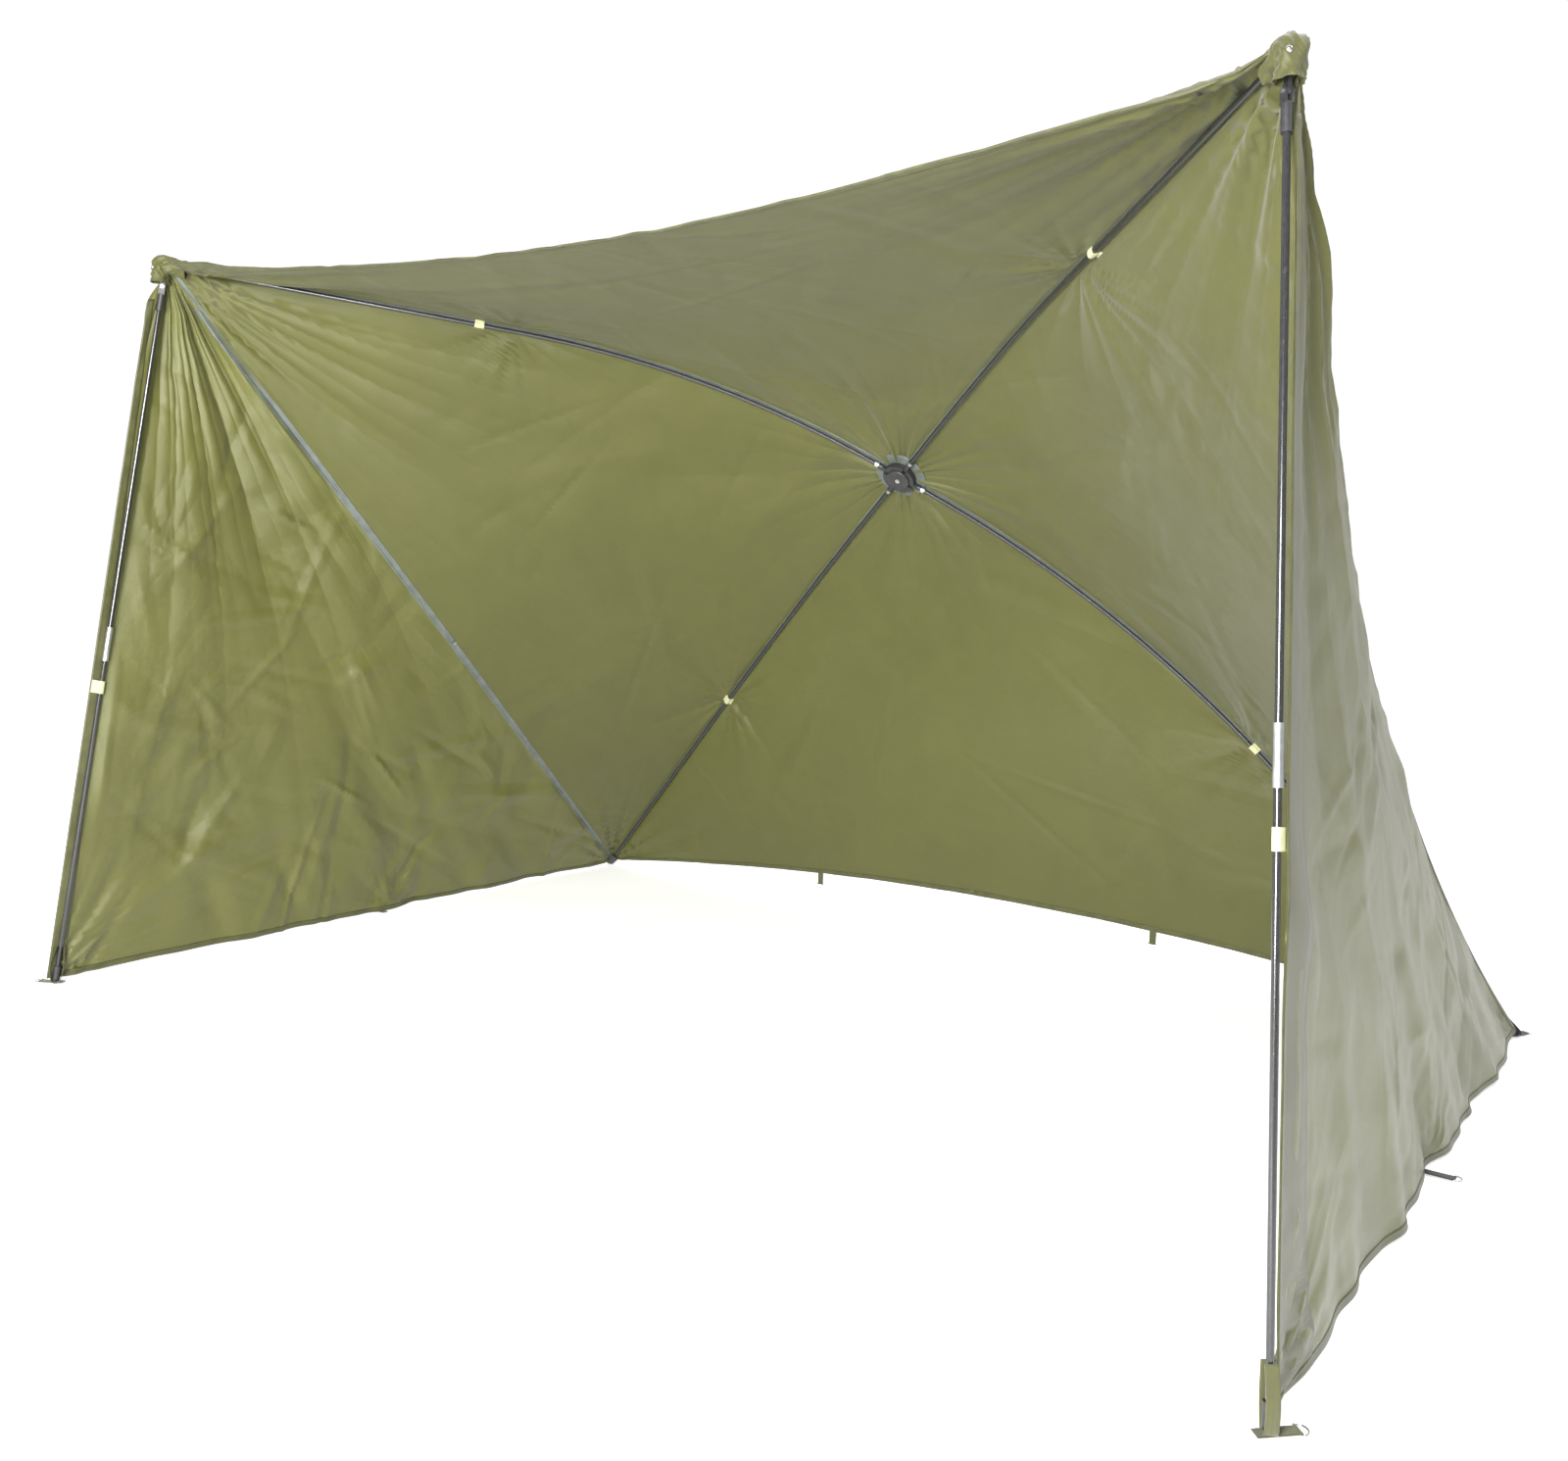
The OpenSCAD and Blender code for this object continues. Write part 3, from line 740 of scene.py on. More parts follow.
def smooth_path(points: Sequence[Array], count: int) -> Array:
    """Draws a smooth curve through a few points.

    Args:
        points: The points that it passes through.
        count: How many points come back, at even steps along its length.

    Returns:
        The points, one row each.
    """
    p = np.array(points, float)
    p = np.vstack([2 * p[0] - p[1], p, 2 * p[-1] - p[-2]])
    t = np.linspace(0, 1, 24)[:, None]
    parts = []
    for a, b, c, d in zip(p[:-3], p[1:-2], p[2:-1], p[3:]):
        parts.append(0.5 * (2 * b + (c - a) * t + (2 * a - 5 * b + 4 * c - d) * t**2
                            + (3 * b - a - 3 * c + d) * t**3))
    line = np.vstack(parts)
    steps = np.concatenate([[0], np.cumsum(np.linalg.norm(np.diff(line, axis=0), axis=1))])
    even = np.linspace(0, steps[-1], count)
    return np.stack([np.interp(even, steps, line[:, k]) for k in range(3)], axis=1)


def strap(name: str, path: Array, wide: Array, width: float, thickness: float, finish: object, slot: str,
          carrier: Carrier) -> bpy.types.Object:
    """Webbing of constant width along a path.

    Args:
        name: Name of the piece.
        path: Points along its middle.
        wide: Direction of its width, the same all along.
        width: Its width.
        thickness: Its thickness.
        finish: Its finish.
        slot: The record's material slot.
        carrier: What it rides on.

    Returns:
        The piece.
    """
    shares = np.linspace(-0.5, 0.5, 9)
    wide = unit(wide)
    points = path[:, None, :] + shares[None, :, None] * width * wide
    return ribbon(name, points, thickness, finish, slot, carrier)


# ---------------------------------------------------------------- cloth


@dataclass(frozen=True)
class Gather:
    """Folds that fan out from a point where the cloth is drawn together."""

    at: Array
    height: float
    reach: float
    seed: int
    waves: tuple[int, ...] = (8, 13, 21, 34, 47)
    start: float = 60 * MM
    steepest: float = 0.15

    def lift(self, points: Array, basis: tuple[Array, Array]) -> Array:
        """Works out the height of the folds.

        Args:
            points: Places on the sheet.
            basis: The sheet's own two directions.

        Returns:
            The height at each place.
        """
        apart = points - self.at
        x, y = apart @ basis[0], apart @ basis[1]
        r, turn = np.hypot(x, y), np.arctan2(y, x)
        dice = np.random.default_rng(self.seed)
        total = np.zeros_like(r)
        for order, wave in enumerate(self.waves):
            size, phase, bend = dice.uniform(0.6, 1.1), dice.uniform(0, math.tau), dice.uniform(-1.2, 1.2)
            ripple = np.sin(wave * turn + phase + bend * r / 0.3)
            if order % 2:
                ripple = 1 - 2 * np.abs(ripple) ** 0.8
            tall = self.height * size / (1 + 0.45 * order) * np.exp(-r * (0.7 + 0.45 * order) / self.reach)
            total += ripple * np.minimum(tall, self.steepest * math.tau * r / wave)
        return total * smoothstep(r / self.start)


@dataclass(frozen=True)
class Creases:
    """Straight packing creases, scattered over a sheet."""

    count: int
    height: float
    length: tuple[float, float] = (0.12, 0.5)
    width: tuple[float, float] = (0.012, 0.045)
    seed: int = 1

    def lift(self, x: Array, y: Array, span: Array) -> Array:
        """Works out the height of the creases.

        Args:
            x: Places along the sheet's first direction.
            y: Places along its second.
            span: How far the sheet runs both ways.

        Returns:
            The height at each place.
        """
        dice = np.random.default_rng(self.seed)
        total = np.zeros_like(x)
        for _ in range(self.count):
            middle, turn = dice.uniform((0, 0), span), dice.uniform(0, math.pi)
            length, width = dice.uniform(*self.length), dice.uniform(*self.width)
            height = self.height * dice.uniform(0.35, 1.0) * dice.choice((-1, 1))
            along = (x - middle[0]) * math.cos(turn) + (y - middle[1]) * math.sin(turn)
            beside = (y - middle[1]) * math.cos(turn) - (x - middle[0]) * math.sin(turn)
            tent = np.clip(1 - np.abs(beside) / width, 0, None)
            total += height * tent * smoothstep(1 - np.abs(along) / length)
        return total


Plain = Callable[[Array, Array], Array]


@dataclass
class Sheet:
    """A sheet of cloth as a function of its two shares, with its folds and creases.

    u runs from the hub or the corner to the hem, and v from one side to the other.
    """

    name: str
    plain: Plain
    outward: Array
    held: Callable[[Array, Array], Array]
    gathers: tuple[Gather, ...] = ()
    creases: tuple[Creases, ...] = ()
    extra: Callable[[Array, Array], Array] | None = None
    ground: float = 1.6 * MM
    basis: tuple[Array, Array] = field(init=False)
    low: Array = field(init=False)
    span: Array = field(init=False)

    def __post_init__(self) -> None:
        """Works out the sheet's own two directions and how far it runs along them."""
        corner = self.plain(np.array([0.1, 1.0, 1.0]), np.array([0.5, 0.0, 1.0]))
        first = unit(corner[2] - corner[1])
        second = corner[0] - corner[1]
        self.basis = (first, unit(second - (second @ first) * first))
        corners = self.plain(np.array([0.0, 0.0, 1.0, 1.0]), np.array([0.0, 1.0, 0.0, 1.0]))
        ends = corners @ np.stack(self.basis, 1)
        self.low, self.span = ends.min(axis=0), np.ptp(ends, axis=0)

    def _normal(self, at: Plain, u: Array, v: Array, step: float = 1e-3) -> Array:
        """Unit normals of a function of u and v, on the outward side."""
        n = unit(np.cross(at(u + step, v) - at(u - step, v), at(u, v + step) - at(u, v - step)))
        mean = n.reshape(-1, 3).mean(axis=0)
        return n if mean @ self.outward > 0 else -n

    def at(self, u: Array, v: Array, lift: float = 0.0) -> Array:
        """Points of the folded sheet.

        Args:
            u: Share from hub or corner to hem.
            v: Share from side to side.
            lift: Extra distance on the outward side.

        Returns:
            The points, in the shape of u with 3 at the end.
        """
        u, v = np.broadcast_arrays(np.asarray(u, float), np.asarray(v, float))
        base = self.plain(u, v)
        fold = sum((g.lift(base, self.basis) for g in self.gathers), np.zeros_like(u))
        x, y = (base @ b - low for b, low in zip(self.basis, self.low))
        fold = fold + sum((c.lift(x, y, self.span) for c in self.creases), np.zeros_like(u))
        if self.extra:
            fold = fold + self.extra(u, v)
        points = base + self._normal(self.plain, u, v) * (fold * self.held(u, v) + lift)[..., None]
        points[..., 2] = np.maximum(points[..., 2], self.ground)
        return points

    def normal(self, u: Array, v: Array) -> Array:
        """Unit normals of the folded sheet."""
        u, v = np.broadcast_arrays(np.asarray(u, float), np.asarray(v, float))
        return self._normal(self.at, u, v, 1.5e-3)

    def spread(self, u: Array, v: Array) -> tuple[float, float]:
        """Metres for a whole share along u and along v, at a place."""
        e = 2e-3
        along = np.linalg.norm(self.plain(u + e, v) - self.plain(u - e, v), axis=-1) / (2 * e)
        aside = np.linalg.norm(self.plain(u, v + e) - self.plain(u, v - e), axis=-1) / (2 * e)
        return along, aside

    def area(self, first: float, last: float, start: float) -> float:
        """Area of the unfolded cut between two shares v, from the share u that it starts at."""
        u, v = np.meshgrid(np.linspace(start, 1, 60), np.linspace(first, last, 40), indexing="ij")
        p = self.plain(u, v)
        a, b = p[1:, :-1] - p[:-1, :-1], p[:-1, 1:] - p[:-1, :-1]
        return float(np.linalg.norm(np.cross(a, b), axis=-1).sum())


@dataclass(frozen=True)
class ClothCut:
    """How one stretch of a sheet is meshed."""

    first: float = 0.0
    last: float = 1.0
    start: float = 0.0
    rows: int = 150
    cols: int = 70
    thickness: float = 0.8 * MM


def cloth_piece(name: str, sheet: Sheet, cut: ClothCut, finish: object, carrier: Carrier, node: str) -> bpy.types.Object:
    """Builds one cloth piece with shading that runs on over the joint with its other half.

    Args:
        name: Name of the piece.
        sheet: The sheet that it is cut from.
        cut: Which stretch of the sheet, and how finely.
        finish: Its finish.
        carrier: What it rides on.
        node: The plain solid that it stands for.

    Returns:
        The piece.
    """
    us = np.linspace(cut.start, 1, cut.rows + 1)
    vs = np.linspace(cut.first, cut.last, cut.cols + 1)
    u, v = np.meshgrid(us, vs, indexing="ij")
    points, normals = sheet.at(u, v), sheet.normal(u, v)
    bm = grid(points)
    face_away(bm, sheet.outward)
    thicken(bm, cut.thickness)
    long_side = float(np.linalg.norm(np.diff(points[:, cut.cols // 2], axis=0), axis=1).sum())
    wide_side = max(float(np.linalg.norm(np.diff(points[i], axis=0), axis=1).sum()) for i in (0, -1))
    piece = add_piece(name, bm, finish, "canopy_fabric", None, (wide_side, long_side))
    mesh = piece.data
    across, along = grid_shares(mesh)
    i, j = np.rint(along * cut.rows).astype(int), np.rint(across * cut.cols).astype(int)
    own = np.array([w.normal for w in mesh.vertices])
    sign = np.where((own * normals[i, j]).sum(axis=1) > 0, 1.0, -1.0)
    mesh.normals_split_custom_set_from_vertices(normals[i, j] * sign[:, None])
    carrier.carry(piece)
    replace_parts(piece, node)
    area = sheet.area(cut.first, cut.last, cut.start)
    return piece


@dataclass(frozen=True)
class Strip:
    """A tape or hem laid along an edge of a sheet."""

    width: float
    thickness: float
    lift: float
    finish: object
    slot: str = "canopy_fabric"


def edge_strip(name: str, sheet: Sheet, edge: tuple[Array, Array], inward: tuple[int, int], strip: Strip,
               carrier: Carrier) -> bpy.types.Object:
    """Lays a strip along an edge of a sheet.

    Args:
        name: Name of the piece.
        sheet: The sheet.
        edge: Shares u and v along the edge.
        inward: Direction in (u, v) from the edge into the sheet.
        strip: The strip's make.
        carrier: What it rides on.

    Returns:
        The piece.
    """
    u, v = np.broadcast_arrays(np.asarray(edge[0], float), np.asarray(edge[1], float))
    along, aside = sheet.spread(u, v)
    w = np.linspace(0, strip.width, 6)
    du = inward[0] * w[None, :] / along[:, None]
    dv = inward[1] * np.minimum(w[None, :] / np.maximum(aside[:, None], 1e-6), 0.5)
    points = sheet.at(u[:, None] + du, v[:, None] + dv, strip.lift)
    return ribbon(name, points, strip.thickness, strip.finish, strip.slot, carrier, sheet.outward)


# ---------------------------------------------------------------- the canopy

SHEET_OFF = 9.2 * MM
HEM_STRIP = Strip(13 * MM, 2.6 * MM, 0.9 * MM, HEM)
RIB_TAPE = Strip(9.5 * MM, 0.5 * MM, -0.85 * MM, TAPE)
SEAM_TAPE = Strip(11 * MM, 0.5 * MM, -0.9 * MM, TAPE)
RIB_BINDING = Strip(6 * MM, 0.7 * MM, 0.75 * MM, BINDING)
SEAM_BINDING = Strip(12 * MM, 0.8 * MM, 0.85 * MM, BINDING)


@dataclass
class Canopy:
    """The roof, back and side panels between the four ribs, with their seams and hems."""

    bones: Skeleton
    front_sag: float = 92 * MM
    back_rise: float = 83 * MM
    seam_bow: tuple[float, float] = (77 * MM, 57 * MM)
    start: float = 0.012
    fade: float = 26 * MM
    taped: tuple[float, float] = (0.03, 0.985)
    tab_share: float = 0.56
    patch_r: float = 58 * MM
    patch_round: float = 0.36

    def bow(self, side: Side) -> Array:
        """How far a side seam bows in and sags at its middle."""
        return np.array([-side.value * self.seam_bow[0], 0, -self.seam_bow[1]])

    def _between(self, a: Rib, b: Rib, bow: Array) -> Plain:
        """The bare surface between two ribs."""
        def plain(u: Array, v: Array) -> Array:
            """Points at shares u and v."""
            u, v = np.asarray(u, float), np.asarray(v, float)[..., None]
            first, last = a.at(u, SHEET_OFF), b.at(u, SHEET_OFF)
            return first + (last - first) * v + bow * 4 * v * (1 - v) * u[..., None] ** 3
        return plain

    def _held(self, plain: Plain, hem_too: bool) -> Callable[[Array, Array], Array]:
        """Share of the folds that is left near seams."""
        def held(u: Array, v: Array) -> Array:
            """0 on a seam and 1 well away from it."""
            width = np.linalg.norm(plain(u, np.ones_like(u)) - plain(u, np.zeros_like(u)), axis=-1)
            near = np.minimum(np.clip(v, 0, 1), np.clip(1 - v, 0, 1)) * width
            share = smoothstep(near / self.fade)
            return share * smoothstep((1 - u) * 1.7 / self.fade) if hem_too else share
        return held

    def sheets(self) -> dict[str, tuple[Sheet, tuple[Rib, Rib]]]:
        """Each panel's sheet and its two ribs, by the name of the panel's plain solid."""
        rib = self.bones.rib
        spans = {
            "roof_panel": (rib(End.FRONT, Side.RIGHT), rib(End.FRONT, Side.LEFT), [0, 0, -self.front_sag]),
            "back_panel": (rib(End.REAR, Side.LEFT), rib(End.REAR, Side.RIGHT), [0, 0, self.back_rise]),
            "right_panel": (rib(End.REAR, Side.RIGHT), rib(End.FRONT, Side.RIGHT), self.bow(Side.RIGHT)),
            "left_panel": (rib(End.REAR, Side.LEFT), rib(End.FRONT, Side.LEFT), self.bow(Side.LEFT)),
        }
        outward = {"roof_panel": [0, -0.6, 0.8], "back_panel": [0, 0.7, 0.7], "right_panel": [0.8, 0, 0.6],
                   "left_panel": [-0.8, 0, 0.6]}
        made = {}
        for order, (name, (a, b, bow)) in enumerate(spans.items()):
            plain = self._between(a, b, np.array(bow))
            gathers = (
                Gather(a.at(np.array(1.0)), *self._corner(a), 11 + order),
                Gather(b.at(np.array(1.0)), *self._corner(b), 31 + order),
                Gather(a.hub + 9 * MM * a.up, 4.5 * MM, 0.24, 51 + order, (9, 15, 22)),
                Gather(a.at(np.array(self.tab_share)), 4 * MM, 0.14, 61 + order, (5, 9, 14)),
                Gather(b.at(np.array(self.tab_share)), 4 * MM, 0.14, 71 + order, (5, 9, 14)))
            creases = (Creases(110, 2.4 * MM, (0.1, 0.45), (0.012, 0.05), 5 + order),
                       Creases(26, 3.2 * MM, (0.3, 0.8), (0.03, 0.09), 25 + order))
            held = self._held(plain, "roof" not in name and "back" not in name)
            made[name] = (Sheet(name, plain, unit(outward[name]), held, gathers, creases), (a, b))
        return made

    @staticmethod
    def _corner(rib: Rib) -> tuple[float, float]:
        """Height and reach of the folds at a rib's tip."""
        return (13.0 * MM, 0.5) if rib.end is End.FRONT else (6.0 * MM, 0.26)

    def build(self) -> None:
        """Builds the panels in halves, each of which goes with its own rib, then seams and hems."""
        for name, (sheet, ribs) in self.sheets().items():
            for half, rib in enumerate(ribs):
                carrier = rib_carrier(rib)
                first, last = half * 0.5, half * 0.5 + 0.5
                side = f"{name}_{rib.end.value}_{rib.side.word}"
                cut = ClothCut(first, last, self.start)
                cloth_piece(side, sheet, cut, CLOTH, carrier, name)
                self._edges(side, sheet, half, carrier, "roof" in name or "back" in name)
        self._hub_patch()

    def _edges(self, name: str, sheet: Sheet, half: int, carrier: Carrier, hemmed: bool) -> None:
        """Tapes and binds one half's edges.

        Args:
            name: Name of the half.
            sheet: Its sheet.
            half: 0 for the half at v = 0, 1 for the half at v = 1.
            carrier: What it rides on.
            hemmed: Whether its last edge is a free hem rather than a seam.
        """
        u, ones = np.linspace(*self.taped, 120), np.ones(120)
        inward = (0, 1 - 2 * half)
        edge_strip(f"{name}_rib_tape", sheet, (u, ones * half), inward, RIB_TAPE, carrier)
        edge_strip(f"{name}_rib_binding", sheet, (u, ones * half), inward, RIB_BINDING, carrier)
        v = np.linspace(half * 0.5, half * 0.5 + 0.5, 110)
        end = np.ones(110)
        if hemmed:
            edge_strip(f"{name}_hem", sheet, (end, v), (-1, 0), HEM_STRIP, carrier)
        else:
            edge_strip(f"{name}_seam_tape", sheet, (end, v), (-1, 0), SEAM_TAPE, carrier)
            edge_strip(f"{name}_seam_binding", sheet, (end, v), (-1, 0), SEAM_BINDING, carrier)

    def _hub_patch(self) -> None:
        """Round reinforcing patches over and under the cloth at the hub."""
        rib = self.bones.rib(End.FRONT, Side.RIGHT)
        across, out, up = rib.across, rib.out, rib.up
        patches = (("hub_patch_over", 0.0, 1.3, BINDING), ("hub_patch_under", 0.017, -2.6, TAPE))
        for name, low, lift, finish in patches:
            turns, radii = np.linspace(0, math.tau, 97), np.linspace(low, self.patch_r, 14)
            r, t = np.meshgrid(radii, turns, indexing="ij")
            dome = SHEET_OFF + lift * MM + 0 * r
            p = rib.hub + r[..., None] * (np.cos(t)[..., None] * out + np.sin(t)[..., None] * across)
            bm = grid(p + dome[..., None] * up)
            bmesh.ops.remove_doubles(bm, verts=bm.verts[:], dist=1e-5)
            face_away(bm, up)
            thicken(bm, 1.0 * MM)
            add_piece(name, bm, finish, "canopy_fabric", Carrier("hub"), (self.patch_round, self.patch_r))


@dataclass
class Wings:
    """The two front side walls that fan out from a front corner to the ground."""

    bones: Skeleton
    canopy: Canopy
    hem_drop: float = 5 * MM
    tab_at: float = 0.492
    top: float = 0.012
    edge: dict = field(default_factory=lambda: {
        Side.LEFT: (9 * MM, -15 * MM), Side.RIGHT: (7 * MM, 7 * MM)})

    def carrier(self, side: Side) -> Carrier:
        """Carrier for what goes with a leg, with the leg's fold joint, an axis and the leg's top stored."""
        down = unit(self.bones.foot(side) - self.bones.leg_top(side))
        axis = unit(np.array([0, 1.0, 0]) - down[1] * down)
        anchor = tuple(self.bones.leg_top(side))
        return Carrier(f"leg_{side.word}", f"leg_fold_{side.word}", tuple(axis), anchor, 0.05)

    def sheet(self, side: Side) -> Sheet:
        """The wing's sheet, from the corner (u = 0) to the hem, and from seam (v = 0) to leg."""
        bones, s = self.bones, side.value
        rear = bones.rib(End.REAR, side).at(np.array(1.0), SHEET_OFF)
        corner = bones.rib(End.FRONT, side).at(np.array(1.0), SHEET_OFF)
        foot, leg_top, bow = bones.foot(side), bones.leg_top(side), self.canopy.bow(side)
        out, back = self.edge[side]

        def plain(u: Array, v: Array) -> Array:
            """Points at shares u and v."""
            u, v = np.asarray(u, float)[..., None], np.asarray(v, float)[..., None]
            wrap = np.clip(v, 0, None) ** 12
            away = smoothstep(v / 0.12)
            start = rear + np.array([s * SHEET_OFF, 0, 0]) * away
            toe = np.array([foot[0], foot[1] + 14 * MM, rear[2]])
            top = corner + np.array([s * 3 * MM, 0, -3 * MM]) * away + np.array([0, 14 * MM, 0]) * v
            hem = start + (toe - start) * v - np.array([0, 0, self.hem_drop]) * 4 * v * (1 - v)
            bare = top + (hem - top) * u + bow * 4 * u * (1 - u) * (1 - v) ** 2
            beside = leg_top + (foot - leg_top) * u + np.array([s * out, back, 0])
            beside = np.where(np.arange(3) == 2, bare, beside)
            return bare + (beside - bare) * wrap * smoothstep(u / 0.06)

        def held(u: Array, v: Array) -> Array:
            """Share of the folds that is left near the seam and the leg."""
            width = 0.2 + 1.4 * np.clip(u, 0, 1)
            near_seam = smoothstep(np.clip(v, 0, 1) * width / (26 * MM))
            near_leg = 0.15 + 0.85 * smoothstep((1 - np.clip(v, 0, 1)) * width / (90 * MM))
            return near_seam * near_leg

        def waves(u: Array, v: Array) -> Array:
            """Slack waves at the hem that die out upwards."""
            rise = np.exp(-(1 - np.clip(u, 0, 1)) / 0.16)
            size = 8 * MM if side is Side.RIGHT else 5 * MM
            ends = np.clip(np.sin(np.clip(v, 0, 1) * math.pi), 0, None) ** 0.5
            sway = (np.sin(v * 27 + 0.8 + 2.5 * u) + 0.6 * np.sin(v * 51 + 2.0 + 5 * v)
                    + 0.3 * np.sin(v * 97 + 1))
            return size * rise * ends * sway

        top = plain(np.array(0.0), np.array(0.7))
        gathers = (
            Gather(top, 10.0 * MM, 0.6, 81 + s, (11, 19, 31, 44)),
            Gather(plain(np.array(1.0), np.array(0.0)), 4 * MM, 0.2, 91 + s),
            Gather(plain(np.array(1.0), np.array(1.0)), 5 * MM, 0.25, 101 + s),
            Gather(plain(np.array(1.0), np.array(self.tab_at)), 3 * MM, 0.14, 111 + s, (6, 10, 15)))
        crinkle = 5.5 * MM if side is Side.LEFT else 3.0 * MM
        creases = (Creases(300, crinkle, (0.05, 0.3), (0.012, 0.05), 41 + s),
                   Creases(40, 6.0 * MM, (0.2, 0.6), (0.05, 0.12), 141 + s))
        outward = np.array([s * 1.0, 0, 0.25])
        return Sheet(f"{side.word}_wing", plain, unit(outward), held, gathers, creases, waves)

    def build(self) -> None:
        """Builds both wings with their hems and seams."""
        for side in Side:
            sheet, carrier, name = self.sheet(side), self.carrier(side), f"{side.word}_wing"
            cut = ClothCut(0.0, 1.0, self.top, 170, 150)
            cloth_piece(f"{name}_cloth", sheet, cut, GLOSSY_LIT_WING_CLOTH, carrier, name)
            v, ones = np.linspace(0.0, 1.0, 220), np.ones(220)
            edge_strip(f"{name}_hem", sheet, (ones, v), (-1, 0), HEM_STRIP, carrier)
            u = np.linspace(0.05, 1.0, 200)
            edge_strip(f"{name}_leg_hem", sheet, (u, ones[:200]), (0, -1), HEM_STRIP, carrier)
            edge_strip(f"{name}_seam_tape", sheet, (u, 0 * u), (0, 1), SEAM_TAPE, carrier)
            edge_strip(f"{name}_seam_binding", sheet, (u, 0 * u), (0, 1), SEAM_BINDING, carrier)


# ---------------------------------------------------------------- hoods, tabs and rings


@dataclass
class CornerHoods:
    """Crumpled cloth hoods over the two front corners, each with a riveted mouth."""

    bones: Skeleton
    girth: float = 14.5 * MM

    def build(self) -> None:
        """Builds both hoods with their eyelets."""
        for side in Side:
            self._hood(side)

    def _hood(self, side: Side) -> None:
        """Builds the hood of one corner."""
        rib, carrier = self.bones.rib(End.FRONT, side), Carrier(f"rib_front_{side.word}")
        down = unit(self.bones.foot(side) - self.bones.leg_top(side))
        tip = rib.tip
        back = rib.at(np.array(1 - 46 * MM / rib.length))
        path = smooth_path([back, rib.at(np.array(1 - 18 * MM / rib.length)), tip + 3 * MM * rib.up,
                            tip + down * 16 * MM + rib.out * 2 * MM, tip + down * 36 * MM], 44)
        frames = self._frames(path)
        turns = np.linspace(0, math.tau, 49)
        share = np.linspace(0, 1, len(path))
        dice = np.random.default_rng(7 + side.value)
        phases = dice.uniform(0, math.tau, 8)
        points = np.zeros((len(path), len(turns), 3))
        for k, (middle, (x, y)) in enumerate(zip(path, frames)):
            flare = 3.5 * MM * (math.exp(-share[k] / 0.08) + math.exp(-(1 - share[k]) / 0.08))
            bulge = 3.0 * MM * math.sin(share[k] * math.pi)
            crumple = (1.3 * np.sin(3 * turns + phases[0] + 9 * share[k])
                       + 1.0 * np.sin(5 * turns + phases[1] - 14 * share[k])
                       + 0.8 * (1 - 2 * np.abs(np.sin(4 * turns + phases[2] + 21 * share[k])))
                       + 0.6 * np.sin(9 * turns + phases[3] + 33 * share[k]))
            radius = self.girth + flare + bulge + crumple * 1.1 * MM
            points[k] = middle + radius[:, None] * (np.cos(turns)[:, None] * x + np.sin(turns)[:, None] * y)
        lining = path[:, None, :] + (points - path[:, None, :]) * (1 - 1.2 * MM / self.girth)
        bm = grid(np.concatenate([points, lining[::-1], points[:1]]))
        bmesh.ops.remove_doubles(bm, verts=bm.verts[:], dist=1e-5)
        bmesh.ops.recalc_face_normals(bm, faces=bm.faces[:])
        add_piece(f"corner_hood_{side.word}", bm, HOOD_CLOTH, "canopy_fabric", carrier, (0.09, 0.09))
        self._rivet(side, tip, down, carrier)

    def _frames(self, path: Array) -> list[tuple[Array, Array]]:
        """Two directions square to the path at each of its points, without twist."""
        tangents = unit(np.gradient(path, axis=0))
        x = unit(np.cross(tangents[0], [0.3, 0.5, 0.8]))
        frames = []
        for tangent in tangents:
            x = unit(x - (x @ tangent) * tangent)
            frames.append((x, np.cross(tangent, x)))
        return frames

    def _rivet(self, side: Side, tip: Array, down: Array, carrier: Carrier) -> None:
        """Domed rivet on the hood's front face."""
        facing = unit(np.array([side.value * 0.25, -1.0, -0.1]))
        place = tip + down * 4 * MM + facing * (self.girth + 4.0 * MM)
        bm = bmesh.new()
        bmesh.ops.create_uvsphere(bm, u_segments=20, v_segments=10, radius=4.2 * MM)
        bmesh.ops.scale(bm, vec=(1, 1, 0.45), verts=bm.verts[:])
        turn = Vector((0, 0, 1)).rotation_difference(Vector(facing)).to_matrix().to_4x4()
        bmesh.ops.transform(bm, matrix=Matrix.Translation(Vector(place)) @ turn, verts=bm.verts[:])
        add_piece(f"corner_rivet_{side.word}_0", bm, RING_STEEL, "ring_steel", carrier)


TAB_LENGTH = 28 * MM


@dataclass(frozen=True)
class PegTab:
    """Doubled webbing that runs out from an edge, round a ring's bar and back."""

    start: Array
    out: Array
    wide: Array
    length: float = TAB_LENGTH
    width: float = 16 * MM
    web: float = 1.15 * MM
    wire: float = 1.2 * MM
    tuck: float = 12 * MM

    def build(self, name: str, finish: object, slot: str, carrier: Carrier) -> bpy.types.Object:
        """Builds the tab."""
        up = unit(np.cross(self.wide, self.out))
        half, loop = self.web * 0.55, self.wire + self.web * 0.55
        flat = [(-self.tuck, half), (0, half), (self.length * 0.45, half * 1.1),
                (self.length - 4 * MM, half * 1.3)]
        turns = np.radians([100, 60, 20, -20, -60, -100])
        arc = [(self.length + loop * math.cos(a), loop * math.sin(a)) for a in turns]
        back = [(x, -y) for x, y in flat[::-1]]
        path = smooth_path([self.start + x * self.out + y * up for x, y in flat + arc + back], 90)
        return strap(name, path, self.wide, self.width, self.web, finish, slot, carrier)


